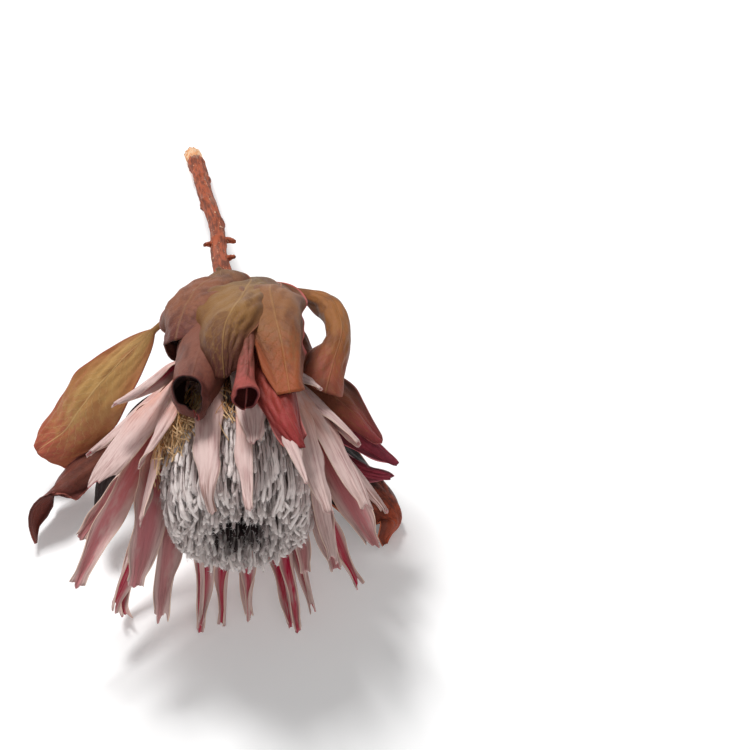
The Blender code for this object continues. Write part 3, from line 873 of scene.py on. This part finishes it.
@dataclass
class Florets:
    """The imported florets: woolly strands in overlapping layers, a rim of tips and a tuft inside."""

    # Outline of the mass: (distance along the head, radius)
    outline: tuple = (
        (24.0, 19.5), (32.0, 23.0), (44.0, 27.0), (60.0, 30.5), (74.0, 31.5), (88.0, 30.0),
        (96.0, 26.5), (99.0, 22.0),
    )
    # Share of its length at each ring of a strand: close together at the tip
    shares: tuple = (0.0, 0.2, 0.4, 0.56, 0.7, 0.8, 0.88, 0.94, 0.98, 1.0)
    sides: int = 6
    thickness: float = 0.76  # greatest radius of a strand
    layer_tips: tuple = (56.0, 64.0, 72.0, 80.0, 87.0, 92.0, 96.0)
    layer_gap: float = 1.25
    layer_foot: float = 27.0  # distance along the head where the layers start
    spacing: float = 2.15  # strands of a layer stand this many radii apart
    clump: float = 11.0  # angle of a tuft whose tips lean together
    # Tips across the open end, from the rim into the hollow: (distance along the head, radius)
    rim_tips: tuple = (
        (96.5, 25.2), (98.5, 22.6), (99.5, 20.0), (100.0, 17.6), (100.0, 15.2), (99.0, 13.0),
        (96.5, 10.8), (92.0, 9.0), (85.0, 7.4),
    )
    rim_foot: float = 40.0  # distance along the head where the strands of the rim start
    rim_spacing: float = 2.7  # strands of the rim stand this many radii apart
    rim_shade: float = 0.018  # how fast the painted shade on the rim deepens into the hollow
    stray: float = 0.16  # how far a strand strays from its route at the tip
    hairs: int = 9  # short hairs on each tip
    hair_radii: tuple = (0.10, 0.03)  # at its foot and its end
    tuft_count: int = 60  # strands in the hollow
    tuft_foot: float = 32.0  # distance along the head where they start
    straw_count: int = 420
    straw_left: float = 0.75  # the part of the straw that stands on the upper left
    seed: int = 71
    felt: StrandFelt = StrandFelt(
        "floret_felt", (176, 122, 76), (208, 188, 182), (242, 232, 228), (104, 76, 76)
    )
    fluff: StrandFelt = StrandFelt("floret_wool", *[(222, 216, 214)] * 3, (190, 178, 178))
    # Painted shade: the tuft deep in the hollow is coloured near black, as the shade there
    tuft: StrandFelt = StrandFelt("tuft_felt", (34, 22, 24), (58, 40, 42), (120, 98, 100), (34, 20, 24))
    straw: StrandFelt = StrandFelt("straw", (170, 104, 56), (210, 156, 98), (230, 196, 150), (132, 80, 46))

    def radius_at(self, distance: Array) -> Array:
        """Radius of the mass at a distance along the head."""
        return np.interp(distance, *zip(*self.outline))

    def angles(self, count: int, rng: np.random.Generator) -> tuple[Array, Array]:
        """Foot and tip angles of a layer. Tips lean towards the middle of their clump."""
        foot = np.arange(count) * 360.0 / count + rng.normal(0.0, 1.2, count)
        offset = rng.uniform(0.0, self.clump)
        middle = (np.floor((foot + offset) / self.clump) + 0.5) * self.clump - offset
        return foot, foot + (middle - foot) * rng.uniform(0.1, 0.6, count) + rng.normal(0.0, 1.5, count)

    def outer(self, rng: np.random.Generator) -> list[tuple[Array, Array]]:
        """Routes and depths of the overlapping layers.

        A strand lies under the shorter layers while they last and comes out to the outline at its tip.

        Args:
            rng: source of the irregularities.

        Returns:
            For each layer, routes as (strands, rows, 3) and how deep each strand lies, which sets its
            painted shade.
        """
        layers = []
        t = np.array(self.shares)[None, :]
        for level, end in enumerate(self.layer_tips):
            count = int(2 * math.pi * self.radius_at(end) / (self.spacing * self.thickness))
            foot, tip = self.angles(count, rng)
            ends = end + rng.normal(0.0, 3.0, count)[:, None]
            distance = self.layer_foot + (ends - self.layer_foot) * t
            shorter = [smoothstep(other + 3.0 - distance, 0.0, 9.0) for other in self.layer_tips[:level]]
            under = self.layer_gap * sum(shorter, np.zeros_like(distance))
            under = under + rng.uniform(0, 1.2, count)[:, None]
            stray = np.abs(rng.normal(0.0, 1.0, count))[:, None] * t**4
            stray = stray + rng.normal(0.0, 0.5, count)[:, None] * t
            radius = self.radius_at(distance) - under + stray
            radius = np.maximum(radius, 11.0 + 0.12 * distance)
            angle = foot[:, None] + (tip - foot)[:, None] * t**1.5
            angle = angle + 0.8 * np.sin(3.0 * t + rng.uniform(0, 6.0, count)[:, None])
            # A random depth for each strand, which the felt paints as shade
            layers.append((HEAD.place(distance, radius, angle), rng.uniform(0, 0.35, count)))
        return layers

    def rim(self, rng: np.random.Generator) -> list[tuple[Array, Array]]:
        """Routes of the strands that end across the open end and inside it."""
        layers = []
        t = np.array(self.shares)[None, :]
        for level, (end, reach) in enumerate(self.rim_tips):
            count = int(2 * math.pi * reach / (self.rim_spacing * self.thickness))
            foot, tip = self.angles(count, rng)
            ends = end + rng.normal(0.0, 1.3, count)[:, None]
            distance = self.rim_foot + (ends - self.rim_foot) * t
            stray = rng.normal(0.0, 0.5, count)[:, None] * t
            stray = stray + rng.normal(0.6, 1.7, count)[:, None] * t**12
            radius = reach - 3.0 * (1.0 - t) ** 2 + stray
            angle = foot[:, None] + (tip - foot)[:, None] * t
            angle = angle + rng.normal(0.0, 80.0 / reach, count)[:, None] * t**12
            # Painted shade: the rings nearer the hollow lie deeper and are painted darker
            depth = rng.uniform(0, 0.3, count) + self.rim_shade * level**2
            layers.append((HEAD.place(distance, radius, angle), depth))
        return layers

    def bundle(
        self, name: str, layers: list, felt: StrandFelt, girth: float, rng: np.random.Generator
    ) -> bpy.types.Object:
        """One mesh of strands: thin at the foot, clubbed near the tip and rounded off.

        Args:
            name: the piece's name.
            layers: routes and depths.
            felt: finish of the strands.
            girth: greatest radius.
            rng: source of the differences between strands.

        Returns:
            The piece.
        """
        routes = np.concatenate([route for route, _ in layers])
        depth = np.concatenate([depth for _, depth in layers])
        count, rows = routes.shape[:2]
        t = np.array(self.shares)
        swelling = np.interp(t, (0.0, 0.5, 0.88, 0.94, 0.98, 1.0), (0.6, 0.68, 0.74, 1.1, 1.15, 0.6))
        radii = girth * swelling[None, :] * rng.uniform(0.75, 1.1, (count, 1))
        radii = radii * rng.uniform(0.88, 1.12, (count, rows))
        routes = routes + rng.normal(0.0, self.stray, routes.shape) * t[None, :, None]
        corners = tube_corners(routes, radii, self.sides)
        share = np.broadcast_to(t[None, :, None], corners.shape[:3])
        shade = np.broadcast_to(rng.uniform(0, 1, count)[:, None, None], share.shape)
        deep = np.broadcast_to(depth[:, None, None], share.shape)
        values = {"strand": np.stack((share, shade, deep), -1)}
        piece = make_piece(name, corners, tube_faces(count, rows, self.sides), values)
        piece.data.materials.append(felt.material())
        return piece

    def wool(self, layers: list, rng: np.random.Generator) -> None:
        """Short hairs around the tips: each is a thin three-sided spike."""
        routes = np.concatenate([route for route, _ in layers])
        tips = np.repeat(routes[:, -1] * 0.6 + routes[:, -2] * 0.4, self.hairs, axis=0)
        ahead = np.repeat(unit(routes[:, -1] - routes[:, -2]), self.hairs, axis=0)
        count = len(tips)
        way = unit(rng.normal(0.0, 1.0, (count, 3)) + 0.7 * ahead)
        start = tips + way * 0.5 + ahead * rng.uniform(-2.2, 0.6, count)[:, None]
        reach = rng.uniform(0.7, 1.7, count)[:, None]
        t = np.array((0.0, 1.0))[None, :, None]
        spikes = start[:, None] + way[:, None] * reach[:, None] * t
        spikes = spikes + np.array((0.0, 0.0, -0.2)) * t
        radii = np.broadcast_to(np.array(self.hair_radii), (count, 2))
        corners = tube_corners(spikes, radii, 3)
        share = np.ones(corners.shape[:3])
        values = {"strand": np.stack((share, share * 0.0, share * 0.0), -1)}
        piece = make_piece("floret_wool", corners, tube_faces(count, 2, 3), values)
        piece.data.materials.append(self.fluff.material())

    def filaments(self, rng: np.random.Generator) -> None:
        """Loose straw-coloured filaments at the foot of the mass, thickest on its upper left."""
        count = self.straw_count
        left = rng.uniform(0, 1, count) < self.straw_left
        angle = np.where(left, rng.normal(-50, 15, count), rng.uniform(-90, 75, count))
        t = np.array(self.shares)[None, :]
        start = rng.uniform(28, 46, count)[:, None]
        distance = start + rng.uniform(10, 30, count)[:, None] * t
        lift = rng.uniform(0.5, 7.0, count)[:, None]
        arch = rng.uniform(0.4, 1.0, count)[:, None]  # the part of a half wave that a filament makes
        radius = self.radius_at(distance) + lift * np.sin(math.pi * t * arch) - 0.2
        around = angle[:, None] + rng.normal(0, 12, count)[:, None] * t**2
        routes = HEAD.place(distance, radius, around)
        self.bundle("straw_filaments", [(routes, np.zeros(count))], self.straw, 0.3, rng)

    def build(self) -> None:
        """Makes the strands, their wool, the inner tuft and the straw in place of the plain mass."""
        rng = np.random.default_rng(self.seed)
        layers = self.outer(rng) + self.rim(rng)
        mass = self.bundle("floret_strands", layers, self.felt, self.thickness, rng)
        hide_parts("florets")
        self.wool(layers, rng)
        self.inner_tuft(rng)
        self.filaments(rng)

    def inner_tuft(self, rng: np.random.Generator) -> None:
        """Strands deep in the hollow, painted near black as the shade there."""
        count = self.tuft_count
        t = np.array(self.shares)[None, :]
        end = rng.uniform(52, 76, count)[:, None]
        distance = self.tuft_foot + (end - self.tuft_foot) * t
        radius = rng.uniform(0.5, 7.5, count)[:, None] * (1.0 - 0.35 * t)
        routes = HEAD.place(distance, radius, rng.uniform(0, 360, count)[:, None] + 0 * t)
        self.bundle("inner_tuft", [(routes, np.full(count, 0.4))], self.tuft, 0.8, rng)


# --- stem ----------------------------------------------------------------------------------------


@dataclass
class Stem:
    """The stem from its torn end to the dome of the receptacle, with stubs of old leaf stalks."""

    # From the neck to the cut end: (x, y, z, radius)
    route: tuple = (
        (-3.0, 28.0, 88.0, 4.6), (-8.0, 60.0, 84.0, 4.4), (-14.0, 100.0, 68.0, 4.0),
        (-20.0, 150.0, 51.0, 3.9), (-32.0, 208.0, 33.0, 4.1), (-40.0, 255.0, 17.0, 4.6),
        (-48.0, 292.0, 5.0, 5.0),
    )
    neck_radius: float = 6.0
    sides: int = 40
    rows: int = 260
    # Old leaf scars: (distance from the cut end, share of a turn round the stem, height)
    knots: tuple = (
        (24.0, 0.2, 0.2), (64.0, 0.7, 0.26), (112.0, 0.1, 0.3), (150.0, 0.5, 0.22), (186.0, 0.8, 0.3),
    )
    knot_length: float = 3.0  # how far a scar's swelling reaches along the stem
    # Stubs of old leaf stalks: (distance behind the neck, angle round the stem, length, radius)
    stubs: tuple = ((128.0, 80.0, 4.5, 1.5), (120.0, -70.0, 3.5, 1.3), (86.0, 60.0, 3.5, 1.3))
    stub_rows: int = 9
    stub_sides: int = 10  # of each stub's mesh
    ribs: int = 5  # ribs round the stem
    twist: float = 0.004  # how much of a turn they make in a millimetre
    rib: float = 0.05  # their height as a part of the radius
    bumps: float = 0.035  # height of the irregular relief as a part of the radius
    ragged: tuple = (-3.0, 2.0)  # range of lengths by which the torn end's splinters differ
    bare: float = 34.0  # how far the bark is peeled from the cut end
    wrap: float = 5.0  # radius at which the bark's pattern goes round the stem
    seed: int = 12
    finish: Bark = Bark()

    def line(self, rows: int) -> Array:
        """Centre line and radius from the neck backwards, as rows of x, y, z and radius."""
        neck = (*NECK, self.neck_radius)
        ahead = (*(NECK + 6.0 * HEAD.axis), self.neck_radius)
        line = smooth_route([ahead, neck, *self.route], rows)
        behind = (line[:, :3] - NECK) @ HEAD.axis < -0.5
        return np.vstack((neck, line[behind]))

    def foot(self, distance: float, angle: float) -> tuple[Array, Array]:
        """A point just off the stem, this far behind the neck, and the way out of the stem there."""
        rows = self.line(self.rows)
        length = lengths(rows)
        here = read(distance, length, rows)
        forward = unit(read(distance - 1.0, length, rows)[:3] - here[:3])
        side = unit(np.cross((0.0, 0.0, 1.0), forward))
        out = math.cos(math.radians(angle)) * np.cross(forward, side) + math.sin(math.radians(angle)) * side
        return here[:3] + here[3] * out, out

    def build(self) -> None:
        """Makes the stem, its torn end and its stubs in place of the plain stem."""
        rng = np.random.default_rng(self.seed)
        back = self.line(self.rows)[::-1]
        dome = [(*(NECK + s * HEAD.axis), radius) for s, radius in HEAD.seats[1:]]
        rows = np.vstack((back, dome))
        count = len(rows)
        length = lengths(rows)
        around = np.arange(self.sides)[None, :] / self.sides
        far = length[:, None]
        ribs = self.rib * np.cos(2 * math.pi * (self.ribs * around + self.twist * far))
        ribs = ribs + self.bumps * lumps(far / 90.0, around * 8, rng, 6)
        knots = sum(
            height
            * np.exp(-(((far - place) / self.knot_length) ** 2))
            * (0.6 + 0.4 * np.cos(2 * math.pi * (around - side)))
            for place, side, height in self.knots
        )
        radii = rows[:, 3:4] * (1.0 + ribs + knots)
        ragged = rng.uniform(*self.ragged, self.sides)
        corners = tube_corners(rows[None, :, :3], radii[None], self.sides)
        corners[0, 0] += ragged[:, None] * unit(rows[0, :3] - rows[1, :3])
        share = np.broadcast_to(1.0 - far / length[-1], (count, self.sides))
        torn = np.broadcast_to(smoothstep(-far, -self.bare, 0.0), share.shape)
        ring = np.broadcast_to(around, share.shape)
        turn = 2 * math.pi * ring
        forth = np.broadcast_to(far, share.shape)
        cloth = np.stack((np.cos(turn) * self.wrap, forth, np.sin(turn) * self.wrap), -1)
        values = {"bark": np.stack((share, ring, torn), -1), "cloth": cloth}
        piece = make_piece("stem_bark", corners, tube_faces(1, count, self.sides), values)
        material = self.finish.material()
        piece.data.materials.append(material)
        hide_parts("stem_with_receptacle")
        for number, stub in enumerate(self.stubs, 1):
            self.stub(number, *stub).data.materials.append(material)

    def stub(
        self, number: int, distance: float, angle: float, length: float, radius: float
    ) -> bpy.types.Object:
        """A short stub of a leaf stalk that leans towards the neck, with a ragged end."""
        rings, sides = self.stub_rows, self.stub_sides
        rng = np.random.default_rng(number)
        foot, out = self.foot(distance, angle)
        forward = unit(self.foot(distance - 2.0, angle)[0] - foot)
        t = np.linspace(-0.3, 1.0, rings)[:, None]
        route = foot + out * length * t + forward * length * 1.3 * np.abs(t) ** 1.5
        radii = radius * (1.25 - 0.5 * t) * rng.uniform(0.85, 1.15, (rings, sides))
        corners = tube_corners(route[None], radii[None], sides)
        values = {"bark": np.zeros_like(corners), "cloth": corners}
        return make_piece(f"stem_stub_{number}", corners, tube_faces(1, rings, sides), values)


# --- leaves --------------------------------------------------------------------------------------


@dataclass(frozen=True)
class Leaf:
    """One leaf, from its foot on the stem: (distance behind the neck, angle round the stem)."""

    name: str
    foot: tuple
    route: tuple
    face: tuple  # ways that it curls towards, evenly spaced from foot to tip
    stalk: float  # the part of its length that is stalk
    left: float
    right: float
    curl_left: tuple
    curl_right: tuple
    leather: LeafLeather
    widest: float = 1.0  # an exponent: the greater it is, the nearer to the tip the leaf is widest
    bluntness: float = 0.5
    wave: float = 1.4  # height of the waves in its margins
    end: float = 0.0  # the share of its width left at its end, which then stays open like a spout
    flare: float = 0.0  # how far the rim of its open end bends outwards
    # Where its end is cut back: (part of the length lost, share across where that starts, where it is full)
    cut: tuple = (0.0, 0.0, 1.0)
    rounding: float = 0.2  # how far the margins of an open end are cut back
    stalk_width: float = 1.6


@dataclass
class Leaves:
    """The leathery leaves around the stem, which hang over and beside the head."""

    stem: Stem
    rows: int = 90
    columns: int = 37
    thickness: float = 0.9
    clearance: float = 1.15
    dent: float = 0.7  # height of the broad dents
    fine_dent: float = 0.3  # height of the small dents
    midrib: float = 0.25  # height of the midrib
    bend: float = 6.0  # how far the margins of a fully rounded end would bend back
    stalk: float = 1.3  # how much thicker the stalk is than the rest
    # Colours of each kind of leather: foot, middle, end, back (also painted shade in its curls), patch
    # (also painted shade towards its margins), rim, vein, and the veins' strength
    colours: tuple = (
        ("golden", (
            (120, 90, 48), (184, 142, 86), (178, 90, 72), (124, 72, 54),
            (156, 88, 56), (156, 66, 50), (216, 180, 124), 0.5,
        )),
        ("umber", (
            (84, 44, 32), (112, 60, 46), (128, 58, 52), (120, 60, 50),
            (66, 30, 26), (176, 104, 92), (140, 92, 66), 0.25,
        )),
        ("black", (
            (28, 16, 14), (32, 18, 16), (38, 20, 20), (24, 12, 12),
            (14, 8, 8), (70, 40, 38), (60, 36, 30), 0.2,
        )),
        ("hood", (
            (122, 84, 50), (138, 86, 62), (100, 50, 42), (74, 44, 36),
            (72, 36, 32), (164, 96, 80), (158, 122, 84), 0.25,
        )),
        ("cupped", (
            (106, 66, 48), (128, 78, 62), (104, 54, 48), (24, 10, 12),
            (80, 44, 38), (150, 60, 60), (140, 100, 80), 0.12,
        )),
        ("veined", (
            (106, 80, 40), (140, 100, 54), (88, 46, 42), (70, 34, 30),
            (92, 50, 34), (178, 116, 92), (176, 138, 84), 0.4,
        )),
        ("trumpet", (
            (104, 68, 50), (118, 70, 56), (166, 80, 74), (96, 30, 38),
            (88, 44, 38), (206, 110, 106), (150, 104, 84), 0.1,
        )),
        ("olive", (
            (98, 66, 38), (142, 94, 58), (156, 80, 46), (40, 16, 16),
            (92, 48, 34), (200, 90, 84), (176, 134, 80), 0.22,
        )),
        ("brown", (
            (94, 62, 34), (150, 96, 50), (150, 78, 60), (84, 38, 34),
            (92, 50, 32), (190, 120, 100), (170, 124, 80), 0.3,
        )),
        ("folded", (
            (122, 74, 44), (140, 80, 54), (140, 56, 58), (96, 38, 42),
            (72, 34, 28), (206, 118, 112), (176, 116, 84), 0.25,
        )),
        ("red", (
            (126, 58, 48), (150, 62, 50), (162, 60, 60), (84, 24, 34),
            (88, 30, 28), (214, 130, 124), (180, 108, 92), 0.2,
        )),
        ("crimson", (
            (82, 28, 30), (118, 40, 50), (150, 54, 70), (96, 24, 40),
            (54, 16, 24), (214, 116, 126), (150, 84, 84), 0.2,
        )),
        ("ember", (
            (26, 14, 14), (34, 18, 18), (168, 74, 46), (44, 20, 18),
            (18, 8, 8), (212, 118, 84), (96, 56, 44), 0.2,
        )),
    )

    def table(self) -> tuple[Leaf, ...]:
        """Every leaf, named as its node."""
        leather = {name: LeafLeather(name, *colours) for name, colours in self.colours}
        return (
            Leaf(
                "broad_left_leaf", (44, -85),
                ((-25, 34, 86), (-41, 30, 73), (-58, 17, 62), (-73, 10, 46), (-84, 7, 31), (-98, 4, 21)),
                ((0, 0.3, -1), (0.2, 0.6, -0.8), (0.3, 0.7, -0.6)),
                0.3, 16, 19, (20, 30, 70), (20, 25, 60), leather["golden"],
                1.7, 0.36, 2.2, 0.3,
            ),
            Leaf(
                "rolled_left_leaf", (38, -110),
                ((-35, 18, 48), (-62, -3, 27), (-80, -12, 18),
                 (-91, -21, 15), (-96, -31, 11), (-94, -42, 5)),
                ((0, 0, -1), (0.2, 0.6, -0.8), (0.9, 0.2, 0.4)),
                0.45, 11, 10, (40, 90, 50), (40, 90, 50), leather["umber"],
                1.6, 0.35, 1.8, 0.75,
            ),
            Leaf(
                "dark_back_leaf", (30, -120),
                ((-25, 12, 58), (-42, -4, 48), (-52, -16, 40), (-60, -30, 30), (-62, -44, 22)),
                ((0, 0.2, -1), (0.3, 0.6, -0.8), (0.5, 0.6, -0.4)),
                0.3, 12, 10, (20, 50, 80), (20, 50, 80), leather["black"],
                1.0,
            ),
            Leaf(
                "hood_leaf", (50, -15),
                ((-7, 38, 101), (-13, 22, 108), (-18, 8, 112), (-21, -8, 109), (-21, -25, 99)),
                ((0, 0, -1), (0.3, 0.2, -1), (0.4, 0.5, -0.8)),
                0.1, 27, 27, (20, 50, 120, 175), (20, 40, 60, 70), leather["hood"],
                1.2, 0.4, 2.0, 0.9, 3.0,
                (0.12, -0.8, -0.4),
            ),
            Leaf(
                "cupped_leaf", (34, 0),
                ((-3, 12, 101), (-5, -8, 110), (-9, -28, 115),
                 (-11, -47, 117), (-11, -62, 119), (-10, -71, 123)),
                ((0, 0.2, -1), (0, 0.2, -1), (0, 0.5, -0.8)),
                0.15, 34, 34, (20, 95, 165, 180), (20, 95, 165, 180), leather["cupped"],
                0.9, 0.4, 1.8, 0.24, 4.5,
                rounding=0.0,
            ),
            Leaf(
                "veined_leaf", (44, 50),
                ((8, 32, 102), (7, 9, 115), (5, -15, 124), (2, -31, 127), (1, -43, 124), (2, -53, 115)),
                ((0, 0, -1), (0, 0.1, -1), (0.2, 0.4, -0.8), (0.3, 0.8, -0.4)),
                0.08, 30, 15, (15, 30, 60, 130), (10, 20, 60, 120), leather["veined"],
                0.75, 0.5, 1.6, 0.25, 1.0,
            ),
            Leaf(
                "trumpet_leaf", (34, 40),
                ((8, 12, 101), (10, -12, 114), (12, -38, 123),
                 (12, -56, 123), (12, -66, 123), (12, -74, 124)),
                ((0, 0.1, -1), (0, 0.2, -1), (0, 0.5, -0.8)),
                0.25, 10.5, 10.5, (60, 150, 176, 182), (60, 150, 176, 182), leather["trumpet"],
                5.0, 0.45, 0.6, 0.5, 3.5,
                rounding=0.0,
            ),
            Leaf(
                "drooping_leaf", (48, 80),
                ((18, 30, 100), (18, 11, 114), (22, -19, 123), (26, -39, 121), (30, -62, 113)),
                ((0, 0.1, -1), (0, 0.2, -1), (0, 0.6, -0.7)),
                0.1, 29, 18, (10, 30, 40, 70), (20, 60, 100, 130), leather["olive"],
                1.1, 0.4, 2.4, 0.6, 2.5,
                (0.22, -0.3, -0.5), 0.35,
            ),
            Leaf(
                "far_right_leaf", (56, 100),
                ((24, 40, 92), (44, 22, 100), (50, -2, 102), (47, -20, 98), (42, -33, 89)),
                ((0, 0, -1), (-0.2, 0.2, -1), (-0.3, 0.6, -0.7)),
                0.3, 13, 12, (40, 130, 110), (40, 130, 110), leather["brown"],
                1.3, 0.4, 1.4, 0.7, 4.0,
            ),
            Leaf(
                "folded_right_leaf", (30, 90),
                ((18, 16, 90), (30, -2, 88), (42, -20, 82), (56, -32, 76), (68, -38, 66)),
                ((0, 0, -1), (-0.2, 0.2, -1), (-0.3, 0.3, -0.9)),
                0.2, 13, 14, (30, 60, 90), (30, 50, 60), leather["folded"],
                0.9, 0.45, 2.4,
            ),
            Leaf(
                "rolled_red_leaf", (24, 60),
                ((14, 4, 99), (17, -20, 110), (22, -50, 114), (29, -72, 111), (36, -84, 104)),
                ((0, 0, -1), (-0.1, 0.2, -1), (-0.3, 0.4, -0.9)),
                0.3, 12, 11, (30, 60, 70), (30, 50, 60), leather["red"],
                1.0, 0.4, 2.2, 0.2,
            ),
            Leaf(
                "narrow_red_leaf", (28, 115),
                ((16, 14, 76), (32, -4, 72), (47, -20, 66), (60, -28, 58), (75, -34, 48)),
                ((0, 0, -1), (-0.2, 0.2, -1), (-0.2, 0.4, -0.9)),
                0.25, 8, 9, (30, 60, 100), (30, 60, 100), leather["crimson"],
                1.0, 0.45, 1.4,
            ),
            Leaf(
                "boat_leaf", (22, 130),
                ((14, 6, 70), (28, -12, 60), (46, -28, 52), (60, -36, 46), (72, -39, 44)),
                ((0, 0, -1), (-0.2, 0.3, -1), (-0.2, 0.6, -0.7)),
                0.3, 8, 8, (30, 90, 120), (30, 90, 120), leather["crimson"],
                1.0, 0.45, 1.2,
            ),
            Leaf(
                "floor_leaf", (34, 150),
                ((8, 22, 62), (28, 2, 44), (48, -14, 32), (64, -22, 22), (76, -30, 9), (70, -38, 1.8)),
                ((0, 0, -1), (-0.2, 0.3, -1), (-0.6, 0.3, 0.2)),
                0.25, 19, 17, (20, 50, 80), (20, 50, 80), leather["ember"],
                1.2, 0.36, 2.4,
            ),
        )

    def outline(self, leaf: Leaf, half_width: float) -> Array:
        """Half width from foot to tip: an even stalk, then a lamina that swells and closes again."""
        u = np.linspace(0.0, 1.0, self.rows)
        t = np.clip((u - leaf.stalk) / (1.0 - leaf.stalk), 0.0, 1.0)
        lamina = np.sin(math.pi * t**leaf.widest).clip(0.0) ** leaf.bluntness
        lamina = np.maximum(lamina, leaf.end * smoothstep(t, 0.5, 0.9))
        return np.maximum(half_width * lamina, leaf.stalk_width * (1.0 - t) + 0.5 * t)

    def piece(self, leaf: Leaf) -> bpy.types.Object:
        """One leaf: its blade, with a raised midrib, waves that grow to the margins and dry dents."""
        rng = randomness(leaf.name)
        foot, out = self.stem.foot(*leaf.foot)
        steps = self.rows - 1
        foot = foot + self.clearance * out
        route = smooth_route([foot, foot + 4.0 * out, *leaf.route], steps)
        left, right = self.outline(leaf, leaf.left), self.outline(leaf, leaf.right)
        curls = along(leaf.curl_left, steps), along(leaf.curl_right, steps)
        blade = Blade(route, along(leaf.face, steps), left, right, *curls)
        u, v = grid(self.rows, self.columns)
        lost, start, full = leaf.cut
        back = leaf.rounding * leaf.end * np.abs(v) ** 3 + lost * smoothstep(v, start, full)
        middle = blade.at(u * (1.0 - back), v)
        open_part = smoothstep(u, leaf.stalk, leaf.stalk + 0.2)
        waves = leaf.wave * v**2 * lumps(u, 0.5 * np.sign(v), rng, 3)
        waves = waves - self.bend * leaf.rounding * v**12
        dents = self.dent * lumps(u, v, rng, 2) + self.fine_dent * lumps(u, v, rng, 7)
        dents = dents + self.midrib * np.exp(-((v / 0.08) ** 2))
        rolled = leaf.flare * smoothstep(u, 0.86, 1.02) * (1.0 + 0.5 * lumps(0.0 * u, v, rng, 2))
        middle = middle + normals_of(middle) * (open_part * (waves + dents) - rolled)[..., None]
        stalk = 1.0 - smoothstep(u, leaf.stalk * 0.8, leaf.stalk * 1.2)
        thickness = self.thickness * (0.4 + 0.6 * (1.0 - v**4)) + self.stalk * stalk * (1.0 - v**2)
        return blade_piece(
            leaf.name + "_leather", middle, thickness, blade.length, leaf.left + leaf.right,
            rng.uniform(0, 90), (0, 0, 0),
        )

    def build(self) -> None:
        """Makes every leaf in place of its node."""
        for leaf in self.table():
            piece = self.piece(leaf)
            piece.data.materials.append(leaf.leather.material())
            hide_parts(leaf.name)


# --- studio --------------------------------------------------------------------------------------


@dataclass
class Studio:
    """A pale floor, soft light and the camera."""

    aim: tuple = (65.0, -5.8, 77.1)
    distance: float = 758.0
    elevation: float = 40.0
    lens: float = 80.0
    sensor: float = 36.0
    floor_size: float = 12.0
    floor_colours: tuple = ((248, 248, 248), (252, 252, 252))
    glow: float = 0.1  # the floor's own light, which keeps it near white
    surroundings: float = 0.3  # strength of the light from all around
    # Lamps: (name, place in metres, side in metres, power in watts)
    lamps: tuple = (("key", (-0.4, 0.6, 1.4), 0.45, 22.0), ("fill", (0.3, -1.5, 0.9), 1.0, 6.5))

    def camera(self) -> None:
        """A camera that looks along +Y and down at the flower."""
        data = bpy.data.cameras.new("camera")
        data.lens = self.lens
        data.sensor_width = self.sensor
        data.clip_start = 0.01
        camera = add_object("camera", data)
        tilt = math.radians(self.elevation)
        back = np.array((0.0, -math.cos(tilt), math.sin(tilt))) * self.distance
        camera.location = (np.array(self.aim) + FLOOR_BELOW_NECK + back) * MM
        camera.rotation_euler = Euler((math.pi / 2 - tilt, 0.0, 0.0))
        bpy.context.scene.camera = camera

    def floor(self) -> None:
        """A wide plain floor at the flower's lowest point."""
        low = CAD_BOX[0].z
        half = self.floor_size / 2
        mesh = bpy.data.meshes.new("floor")
        corners = [(-half, -half, low), (half, -half, low), (half, half, low), (-half, half, low)]
        mesh.from_pydata(corners, [], [(0, 1, 2, 3)])
        graph = Graph("floor")
        cloud = graph.noise(graph.objects(), 0.8, 2.0)
        pale = graph.blend(cloud, *self.floor_colours)
        graph.shader.inputs["Emission Color"].default_value = WHITE
        graph.shader.inputs["Emission Strength"].default_value = self.glow
        mesh.materials.append(graph.finish(pale, 0.9, cloud, 0.0))
        add_object("floor", mesh)

    def light(self, name: str, place: tuple, size: float, power: float) -> None:
        """A square light that faces the flower.

        Args:
            name: its name.
            place: where it stands, in metres.
            size: its side, in metres.
            power: its power, in watts.
        """
        data = bpy.data.lights.new(name, "AREA")
        data.size = size
        data.energy = power
        lamp = add_object(name, data)
        lamp.location = place
        lamp.rotation_euler = (-Vector(place)).to_track_quat("-Z", "Y").to_euler()

    def build(self) -> None:
        """Sets up the whole studio."""
        self.camera()
        self.floor()
        world = bpy.data.worlds.new("world")
        world.use_nodes = True
        background = world.node_tree.nodes["Background"]
        background.inputs["Color"].default_value = WHITE
        background.inputs["Strength"].default_value = self.surroundings
        bpy.context.scene.world = world
        for lamp in self.lamps:
            self.light(*lamp)
        bpy.context.scene.view_settings.view_transform = "Standard"


def main() -> None:
    """Builds the flower's sub-assemblies and the studio."""
    logging.basicConfig(level=logging.INFO, format="%(name)s: %(message)s")
    stem = Stem()
    stem.build()
    Bracts().build()
    Florets().build()
    Leaves(stem).build()
    Studio().build()


if __name__ == "__main__":
    main()
